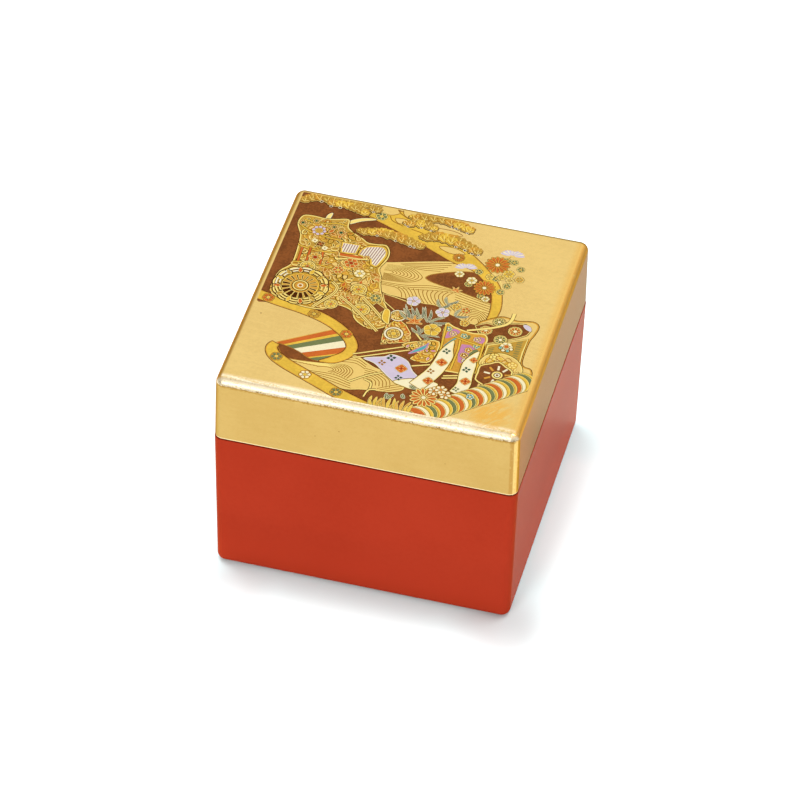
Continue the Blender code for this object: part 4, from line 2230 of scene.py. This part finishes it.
@dataclass
class Garden:
    """The flowers at the upper right and along the bottom."""

    def paint(self, picture: Picture) -> None:
        """Lay leaves first, then flowers.

        Args:
            picture: The picture.
        """
        for spot in (
            (26, 32), (28.4, 31.8), (31.2, 29), (24.6, 22.4), (28.8, 19.8), (27.4, 16.4), (18.4, 24.2),
            (16.6, 17.4), (21.8, 12.8),
        ):
            picture.lay(Blossom(spot, 1.25, GREEN, 5, OLIVE, turn=20.0 * spot[0]))
        for place, radius, colour in (
            ((28, 25.8), 1.9, YELLOW), ((32, 24), 1.5, OLD_GOLD), ((29, 22.8), 1.3, PALE_GOLD),
            ((26, 23.4), 1.2, YELLOW), ((12.6, 21.4), 1.5, CREAM), ((17.2, 19.4), 1.7, CREAM),
            ((22.4, 22.8), 1.3, YELLOW), ((23.6, 11.8), 1.3, CREAM),
        ):
            picture.lay(Blossom(place, radius, colour, heart=OLIVE, turn=10.0 * radius))
        for place, radius in (((23.4, 29.2), 4.0), ((22, 17), 3.5), ((10.4, 29.2), 1.9)):
            picture.lay(Blossom(
                place, radius, petals=14, heart=CREAM, rim=OLD_GOLD, core=0.18, slim=0.9,
            ))
        for place, reach, lean in (((27, 34.6), 4.2, 2.0), ((14, 24.4), 3.8, 12.0)):
            self._half_flower(picture, place, reach, lean)
        picture.line(curve([(26.6, 34.4), (26.2, 33), (26, 31.6)], closed=False), (0.35, OLIVE))
        picture.lay(Blossom((16.2, -39.2), 4.4, petals=14, heart=CREAM, core=0.16, turn=5.0, slim=0.9))
        for root, tip in (
            ((12.8, -36), (10.6, -34.8)), ((5.2, -43), (4.6, -40.4)), ((5.2, -43), (6.8, -40.6)),
            ((10.4, -41.4), (9.4, -39.4)),
        ):
            picture.lay(Leaf(root, tip, 1.3, 0.2))
        for place, turn in (((18.6, -35.4), 40), ((22.4, -36.2), 0), ((20.6, -34.2), 20)):
            picture.lay(Blossom(
                place, 2.0, CREAM, heart=ORANGE, rim=OLD_GOLD, core=0.25, turn=turn, pointed=True,
            ))
        chance = random.Random(12)
        for number in range(16):
            x = 0.4 + 0.85 * number
            root = (x, -47.4)
            tip = (x + chance.uniform(-1.6, 1.6), -43.6 + chance.uniform(-1.0, 1.6))
            picture.lay(Leaf(root, tip, 1.0, 0.2, chance.choice((OLD_GOLD, YELLOW)), LINE_GOLD))

    def _half_flower(self, picture: Picture, place: Point, reach: float, lean: float) -> None:
        """Paint a flower from the side: a fan of narrow lavender petals.

        Args:
            picture: The picture.
            place: Where its petals meet.
            reach: A petal's length.
            lean: How far it leans, in degrees.
        """
        for number in range(13):
            angle = 168.0 - 13.0 * number
            long = reach * (0.62 + 0.38 * abs(math.cos(math.radians(angle))))
            petal = curve([(0.2, 0.0), (0.7, -0.1), (1.0, 0.0), (0.7, 0.1)], steps=2)
            outline = placed(petal, place, lean + angle, long)
            picture.edged(outline, (LAVENDER, CREAM)[number % 2], LAVENDER, 0.14, 0.0)


@dataclass
class LidPainting:
    """The whole picture: a festive carriage and a chest, heaped with flowers and cloths.

    Attributes:
        boughs: Each pine bough's middle line and its depth.
    """

    boughs: Sequence[tuple[Sequence[Point], float]] = (
        (((-43, 46.6), (-37, 48.4), (-30, 48.6), (-21.6, 47.6)), 3.8),
        (((-34, 46.2), (-27, 46), (-21, 44.4)), 3.4),
        (((-46.4, 42.4), (-43, 44.8), (-39, 45.8), (-36, 44.2), (-31, 44.4), (-24.8, 42.2)), 4.0),
        (((-9, 43.8), (-4, 45.4), (3, 45.6), (10.6, 43)), 4.0),
        (((-10.4, 40.4), (-6, 41.6), (-1, 40.8)), 3.4),
        (((-3, 35), (2, 37), (9, 35.6), (15.6, 33.4)), 4.2),
        (((-23.6, 32.4), (-17.6, 33.8), (-10, 32.6), (-3, 30.8)), 3.8),
    )

    def compose(self) -> Picture:
        """Lay every shape, from the ground up.

        Returns:
            The picture.
        """
        picture = Picture()
        picture.lay(Ground(), LowerRibbon())
        picture.lay(*(
            PineBough(path, depth, number)
            for number, (path, depth) in enumerate(self.boughs)
        ))
        picture.lay(Carriage(), FlowerHeap(), Chest(), Sashes(), StripedRoll(), Garden())
        return picture


# The skin of paint


def winding(loop: np.ndarray, spots: np.ndarray) -> np.ndarray:
    """Count how often a loop runs round each of some spots.

    Args:
        loop: The loop's corners.
        spots: The spots.

    Returns:
        The count for each spot, 0 outside.
    """
    start, end = loop[None], np.roll(loop, -1, axis=0)[None]
    x, y = spots[:, None, 0], spots[:, None, 1]
    x0, y0, x1, y1 = start[..., 0], start[..., 1], end[..., 0], end[..., 1]
    side = (x1 - x0) * (y - y0) - (x - x0) * (y1 - y0)
    climbs = (y0 <= y) & (y1 > y) & (side > 0)
    falls = (y0 > y) & (y1 <= y) & (side < 0)
    return climbs.sum(axis=1) - falls.sum(axis=1)


@dataclass
class Skin:
    """The flat skin of paint on the lid, cut into facets of one paint each.

    Attributes:
        half: Half its width, in millimetres.
        corner: The radius of its corners, in millimetres.
        high: The height of its face, in metres.
        depth: How far its underside lies below its face, in metres.
        grid: How close together two corners may lie before they are one, in millimetres.
        beyond: How far past the skin's border a shape may reach, in millimetres.
        merge: How close two points of the cut plane have to lie to be one, in millimetres.
        face_share: How much of the map's side the face takes.
    """

    half: float
    corner: float
    high: float
    depth: float = 0.00003
    grid: float = 0.004
    beyond: float = 0.4
    merge: float = 1e-4
    face_share: float = 0.98

    def build(self, picture: Picture, gold: bpy.types.Material) -> bpy.types.Object:
        """Cut the picture's shapes into one plane and close the skin below it.

        Args:
            picture: The picture.
            gold: The lacquer where nothing is painted.

        Returns:
            The skin.
        """
        outlines = [self._rim(), *(outline for outline, _ in picture.shapes)]
        sides = [(a, b) for loop in outlines for a, b in zip(loop, (*loop[1:], loop[0]))]
        corners, faces = self._cut(sides)
        paints = self._paints(corners, faces, picture)
        corners, faces = self._cut(self._borders(corners, faces, paints))
        paints = self._paints(corners, faces, picture)
        kept = paints >= 0
        return self._piece(corners, faces[kept], paints[kept], gold)

    def _rim(self) -> Path:
        """Draw the skin's own outline.

        Returns:
            The outline, with rounded corners.
        """
        inner = self.half - self.corner
        rim = []
        for turn, x, y in (
            (0, inner, inner), (90, -inner, inner), (180, -inner, -inner), (270, inner, -inner),
        ):
            rim.extend(arc((x, y), (self.corner, self.corner), turn, turn + 90, 6))
        return rim

    def _cut(self, sides: Iterable[tuple[Point, Point]]) -> tuple[np.ndarray, np.ndarray]:
        """Cut the plane along some sides.

        Args:
            sides: Pairs of points. What lies outside the skin is drawn in to just beyond it.

        Returns:
            The corners and, for each triangle, its three corner numbers.
        """
        limit = self.half + self.beyond
        numbers: dict[Point, int] = {}
        edges = set()
        for side in sides:
            pair = []
            for x, y in side:
                spot = tuple(round(min(max(value, -limit), limit) / self.grid) for value in (x, y))
                pair.append(numbers.setdefault(spot, len(numbers)))
            if pair[0] != pair[1]:
                edges.add((min(pair), max(pair)))
        points = [Vector((x * self.grid, y * self.grid)) for x, y in numbers]
        corners, _, faces, *_ = geometry.delaunay_2d_cdt(points, sorted(edges), [], 0, self.merge)
        return np.array([tuple(corner) for corner in corners]), np.array(faces)

    def _paints(self, corners: np.ndarray, faces: np.ndarray, picture: Picture) -> np.ndarray:
        """Find the paint that was laid last on each triangle.

        Args:
            corners: The corners, in millimetres.
            faces: Each triangle's three corner numbers.
            picture: The picture.

        Returns:
            For each triangle 1 + its paint's number, 0 for bare lacquer or -1 outside the skin.
        """
        pigments = list(Pigment)
        middles = corners[faces].mean(axis=1)
        order = np.argsort(middles[:, 0])
        spots = middles[order]
        found = np.full(len(spots), -1)
        found[winding(np.array(self._rim()), spots) != 0] = 0
        waiting = found == 0
        for outline, pigment in reversed(picture.shapes):
            loop = np.array(outline)
            low, high = loop.min(axis=0), loop.max(axis=0)
            first, last = np.searchsorted(spots[:, 0], (low[0], high[0]))
            rows = spots[first:last, 1]
            near = first + np.nonzero(waiting[first:last] & (rows >= low[1]) & (rows <= high[1]))[0]
            if len(near):
                inside = winding(loop, spots[near]) != 0
                found[near[inside]] = 1 + pigments.index(pigment)
                waiting[near[inside]] = False
        paints = np.empty_like(found)
        paints[order] = found
        return paints

    def _borders(
        self, corners: np.ndarray, faces: np.ndarray, paints: np.ndarray,
    ) -> list[tuple[Point, Point]]:
        """Find the sides between triangles of different paint.

        Args:
            corners: The corners, in millimetres.
            faces: Each triangle's three corner numbers.
            paints: Each triangle's paint.

        Returns:
            Pairs of points.
        """
        seen: dict[tuple[int, int], int] = {}
        borders = set()
        for face, paint in zip(faces.tolist(), paints.tolist()):
            for a, b in zip(face, (*face[1:], face[0])):
                key = (min(a, b), max(a, b))
                if key not in seen:
                    seen[key] = paint
                    borders.add(key)
                elif seen[key] == paint:
                    borders.discard(key)
        spots = [tuple(corner) for corner in corners.tolist()]
        return [(spots[a], spots[b]) for a, b in sorted(borders)]

    def _piece(
        self, corners: np.ndarray, faces: np.ndarray, paints: np.ndarray, gold: bpy.types.Material
    ) -> bpy.types.Object:
        """Make the skin from its facets, with a rim and an underside.

        Args:
            corners: The corners, in millimetres.
            faces: Each triangle's three corner numbers.
            paints: Each triangle's paint.
            gold: The lacquer where nothing is painted.

        Returns:
            The skin.
        """
        used, faces = np.unique(faces, return_inverse=True)
        places = np.column_stack([corners[used] * MM, np.full(len(used), self.high)])
        data = bpy.data.meshes.new("lid_picture")
        data.from_pydata(places.tolist(), [], faces.reshape(-1, 3).tolist())
        for material in (gold, *(pigment.material() for pigment in Pigment)):
            data.materials.append(material)
        data.polygons.foreach_set("material_index", paints.astype(np.int32))
        skin = bpy.data.objects.new("lid_picture", data)
        bpy.context.scene.collection.objects.link(skin)
        pick(skin)
        bpy.ops.object.mode_set(mode="EDIT")
        bpy.ops.mesh.select_mode(type="EDGE")
        bpy.ops.mesh.select_all(action="DESELECT")
        bpy.ops.mesh.select_non_manifold()
        bpy.ops.mesh.extrude_edges_move(TRANSFORM_OT_translate={"value": (0.0, 0.0, -self.depth)})
        bpy.ops.mesh.edge_face_add()
        bpy.ops.mesh.select_all(action="SELECT")
        bpy.ops.mesh.normals_make_consistent(inside=False)
        bpy.ops.object.mode_set(mode="OBJECT")
        self._unwrap(skin)
        return skin

    def _unwrap(self, skin: bpy.types.Object) -> None:
        """Lay the face flat in a map from above, and the rest small in one corner of it.

        Args:
            skin: The skin.
        """
        data = skin.data
        sheet = data.uv_layers.new(name="OFBake")
        for face in data.polygons:
            top = face.normal.z > 0.5
            for loop in face.loop_indices:
                place = data.vertices[data.loops[loop].vertex_index].co
                u, v = (0.5 + value / (2 * self.half * MM) for value in (place.x, place.y))
                start, share = (0.0, self.face_share) if top else (self.face_share + 0.005, 0.01)
                sheet.data[loop].uv = (start + share * u, start + share * v)


# Studio


def grey(level: float) -> Colour:
    """Return a grey."""
    return (level, level, level, 1.0)


@dataclass(frozen=True)
class Lamp:
    """A softbox that faces the box.

    Attributes:
        name: Its name.
        place: Where it hangs.
        size: Its width and height.
        glow: How bright its face is.
        unseen: The kinds of rays that pass it by.
    """

    name: str
    place: tuple[float, float, float]
    size: Point
    glow: float
    unseen: tuple[str, ...] = ()

    def hang(self) -> None:
        """Hang the softbox."""
        data = bpy.data.lights.new(self.name, "AREA")
        data.shape = "RECTANGLE"
        data.size, data.size_y = self.size
        data.energy = self.glow * self.size[0] * self.size[1] * math.pi
        lamp = bpy.data.objects.new(self.name, data)
        bpy.context.collection.objects.link(lamp)
        lamp.location = self.place
        lamp.rotation_euler = Vector(self.place).to_track_quat("Z", "Y").to_euler()
        for kind in self.unseen:
            setattr(lamp, f"visible_{kind}", False)


@dataclass
class Studio:
    """Floor, lamps and camera.

    Attributes:
        azimuth: Where the camera stands, in degrees round from the front.
        elevation: How high it stands, in degrees.
        roll: How far it is tipped, in degrees.
        distance: How far it is from what it looks at.
        aim: What it looks at.
        lens: Its focal length, in millimetres.
        sensor: The width of its sensor, in millimetres.
        floor_size: The floor's width.
        floor_drop: How far the floor lies below the box, so that the two don't touch.
        floor_front: The floor's colour in front of and beside the box, painted with a cyan tint that
            cancels the red light the box bounces onto it.
        floor_right: Its colour close to the box's right side, painted lighter and cyan to lift the
            shadow there and cancel the red bounce.
        floor_corner_shadow: The grey painted on the floor at the box's two front corners as their
            shadows.
        corners: Where those are, how far each shade reaches and how strong it is.
        lamps: The softboxes. Some light only what is matt and some only what is glossy.
    """

    azimuth: float = 13.496
    elevation: float = 42.579
    roll: float = 1.816
    distance: float = 1.5731
    aim: tuple[float, float, float] = (-0.00116, 0.0015, 0.03884)
    lens: float = 216.0
    sensor: float = 36.0
    floor_size: float = 4.0
    floor_drop: float = 0.0002
    floor_front: Colour = (0.75, 0.91, 0.92, 1.0)
    floor_right: Colour = (0.92, 0.98, 0.98, 1.0)
    floor_corner_shadow: Colour = (0.58, 0.57, 0.57, 1.0)
    corners: tuple[tuple[tuple[float, float, float], float, float], ...] = (
        ((0.050, -0.055, 0.0), 0.023, 0.75), ((-0.041, -0.061, 0.0), 0.017, 0.5),
    )
    lamps: tuple[Lamp, ...] = (
        Lamp("overhead_softbox", (-0.07, 0.14, 1.20), (0.16, 0.24), 38.0, ("glossy",)),
        Lamp("overhead_sheen", (-0.07, 0.14, 1.20), (0.16, 0.24), 4.4, ("diffuse",)),
        Lamp("right_softbox", (0.35, 0.10, 1.15), (0.30, 0.30), 14.5),
        Lamp("left_softbox", (-0.38, 0.10, 1.15), (0.30, 0.30), 22.0, ("glossy",)),
        Lamp("low_front_softbox", (-0.24, -1.05, 0.50), (0.34, 0.92), 7.0, ("glossy",)),
        Lamp("low_front_sheen", (-0.24, -1.05, 0.50), (0.34, 0.92), 2.4, ("diffuse",)),
        Lamp("high_front_sheen", (-0.24, -0.47, 1.06), (0.34, 0.92), 0.4, ("diffuse",)),
        Lamp("near_front_sheen", (-0.10, -0.50, 0.36), (0.40, 0.31), 2.1, ("diffuse", "camera")),
    )

    def build(self) -> None:
        """Set up everything round the box."""
        self._floor()
        self._sky()
        for lamp in self.lamps:
            lamp.hang()
        self._camera()
        scene = bpy.context.scene
        scene.view_settings.view_transform = "Standard"
        scene.view_settings.look = "None"

    def _floor(self) -> None:
        """Lay a white floor with painted light and shade near the box, and a painted fall-off to grey
        away from it.
        """
        bpy.ops.object.select_all(action="DESELECT")
        bpy.ops.mesh.primitive_plane_add(size=self.floor_size, location=(0.0, 0.0, -self.floor_drop))
        floor = bpy.context.object
        floor.name = "floor"
        made = bpy.data.materials.new("white_floor")
        made.use_nodes = True
        graph = Graph(made.node_tree)
        place = graph.place()
        across, along, _ = graph.parts(place)
        far = graph.distance(place, (0.0, 0.0, 0.0))
        beside = across.size().most(along * -1.0).fade(0.050, 0.080)
        right_side = across.fade(0.048, 0.052) * along.fade(-0.035, -0.010) * along.fade(0.038, 0.026)
        # Painted shadows on the floor at the box's two front corners
        corners = (
            (graph.distance(place, corner).fade(reach, 0.004) * share, self.floor_corner_shadow)
            for corner, reach, share in self.corners
        )
        colour = graph.coats(
            # Cyan painted close to the box, cancelling the red light that it bounces onto the floor
            self.floor_front,
            (beside, grey(0.90)),
            # Painted light: lighter, cyan floor beside the right side, lifting the shadow there
            (right_side * 0.5, self.floor_right),
            *corners,
            # Painted shade on the floor to the right of and behind the box, where its right side
            # mirrors the floor
            (across.fade(0.10, 0.22) * along.fade(-0.02, 0.08) * 0.4, grey(0.70)),
            # Painted fall-off of the light: the floor greys away from the box
            (far.fade(0.25, 0.70), grey(0.42)),
            (far.fade(0.70, 1.10), grey(0.14)),
        )
        shader = graph.node("ShaderNodeBsdfPrincipled", None, {"Base Color": colour, "Roughness": 0.9})
        graph.feed(shader.inputs["IOR"], 1.05)
        graph.node("ShaderNodeOutputMaterial", None, {0: shader.outputs[0]})
        floor.data.materials.append(made)

    def _sky(self) -> None:
        """Light the room: bright above and at the back, dim near the horizon and on the right."""
        world = bpy.data.worlds.new("studio")
        bpy.context.scene.world = world
        world.use_nodes = True
        graph = Graph(world.node_tree)
        way = graph.node("ShaderNodeTexCoord").outputs["Generated"]
        across, along, height = graph.parts(way)
        above = along.fade(0.1, 0.8) * 0.60 + 0.72 + across.fade(0.0, 0.8) * 0.26
        low = along.fade(-0.8, 0.0) * 0.33 + 0.27 + across.fade(0.0, 0.8) * 0.24
        strength = height.fade(0.15, 0.60) * (above - low) + low
        light = graph.node("ShaderNodeBackground", None, {"Color": grey(1.0), "Strength": strength})
        graph.node("ShaderNodeOutputWorld", None, {0: light.outputs[0]})

    def _camera(self) -> None:
        """Stand the camera where the photograph was taken from."""
        angles = (self.azimuth, self.elevation, self.roll)
        azimuth, elevation, roll = (math.radians(angle) for angle in angles)
        reach = math.cos(elevation)
        back = Vector((math.sin(azimuth) * reach, -math.cos(azimuth) * reach, math.sin(elevation)))
        right = Vector((0.0, 0.0, 1.0)).cross(back).normalized()
        up = back.cross(right)
        tipped_right = right * math.cos(roll) + up * math.sin(roll)
        tipped_up = up * math.cos(roll) - right * math.sin(roll)
        data = bpy.data.cameras.new("camera")
        data.sensor_width = self.sensor
        data.lens = self.lens
        data.clip_start, data.clip_end = 0.05, 20.0
        camera = bpy.data.objects.new("camera", data)
        bpy.context.collection.objects.link(camera)
        facing = Matrix((tipped_right, tipped_up, back)).transposed().to_4x4()
        camera.matrix_world = Matrix.Translation(Vector(self.aim) + back * self.distance) @ facing
        bpy.context.scene.camera = camera


def main() -> None:
    """Build the box and its surroundings."""
    logging.basicConfig(level=logging.INFO, format="%(name)s: %(message)s")
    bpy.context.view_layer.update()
    shape = BoxShape.of_frame()
    shells = Shells(shape)
    for piece in (shells.build_body(), shells.build_lid(), shells.build_picture()):
        LOG.info("built %s with %d faces", piece.name, len(piece.data.polygons))
    Studio().build()


if __name__ == "__main__":
    main()
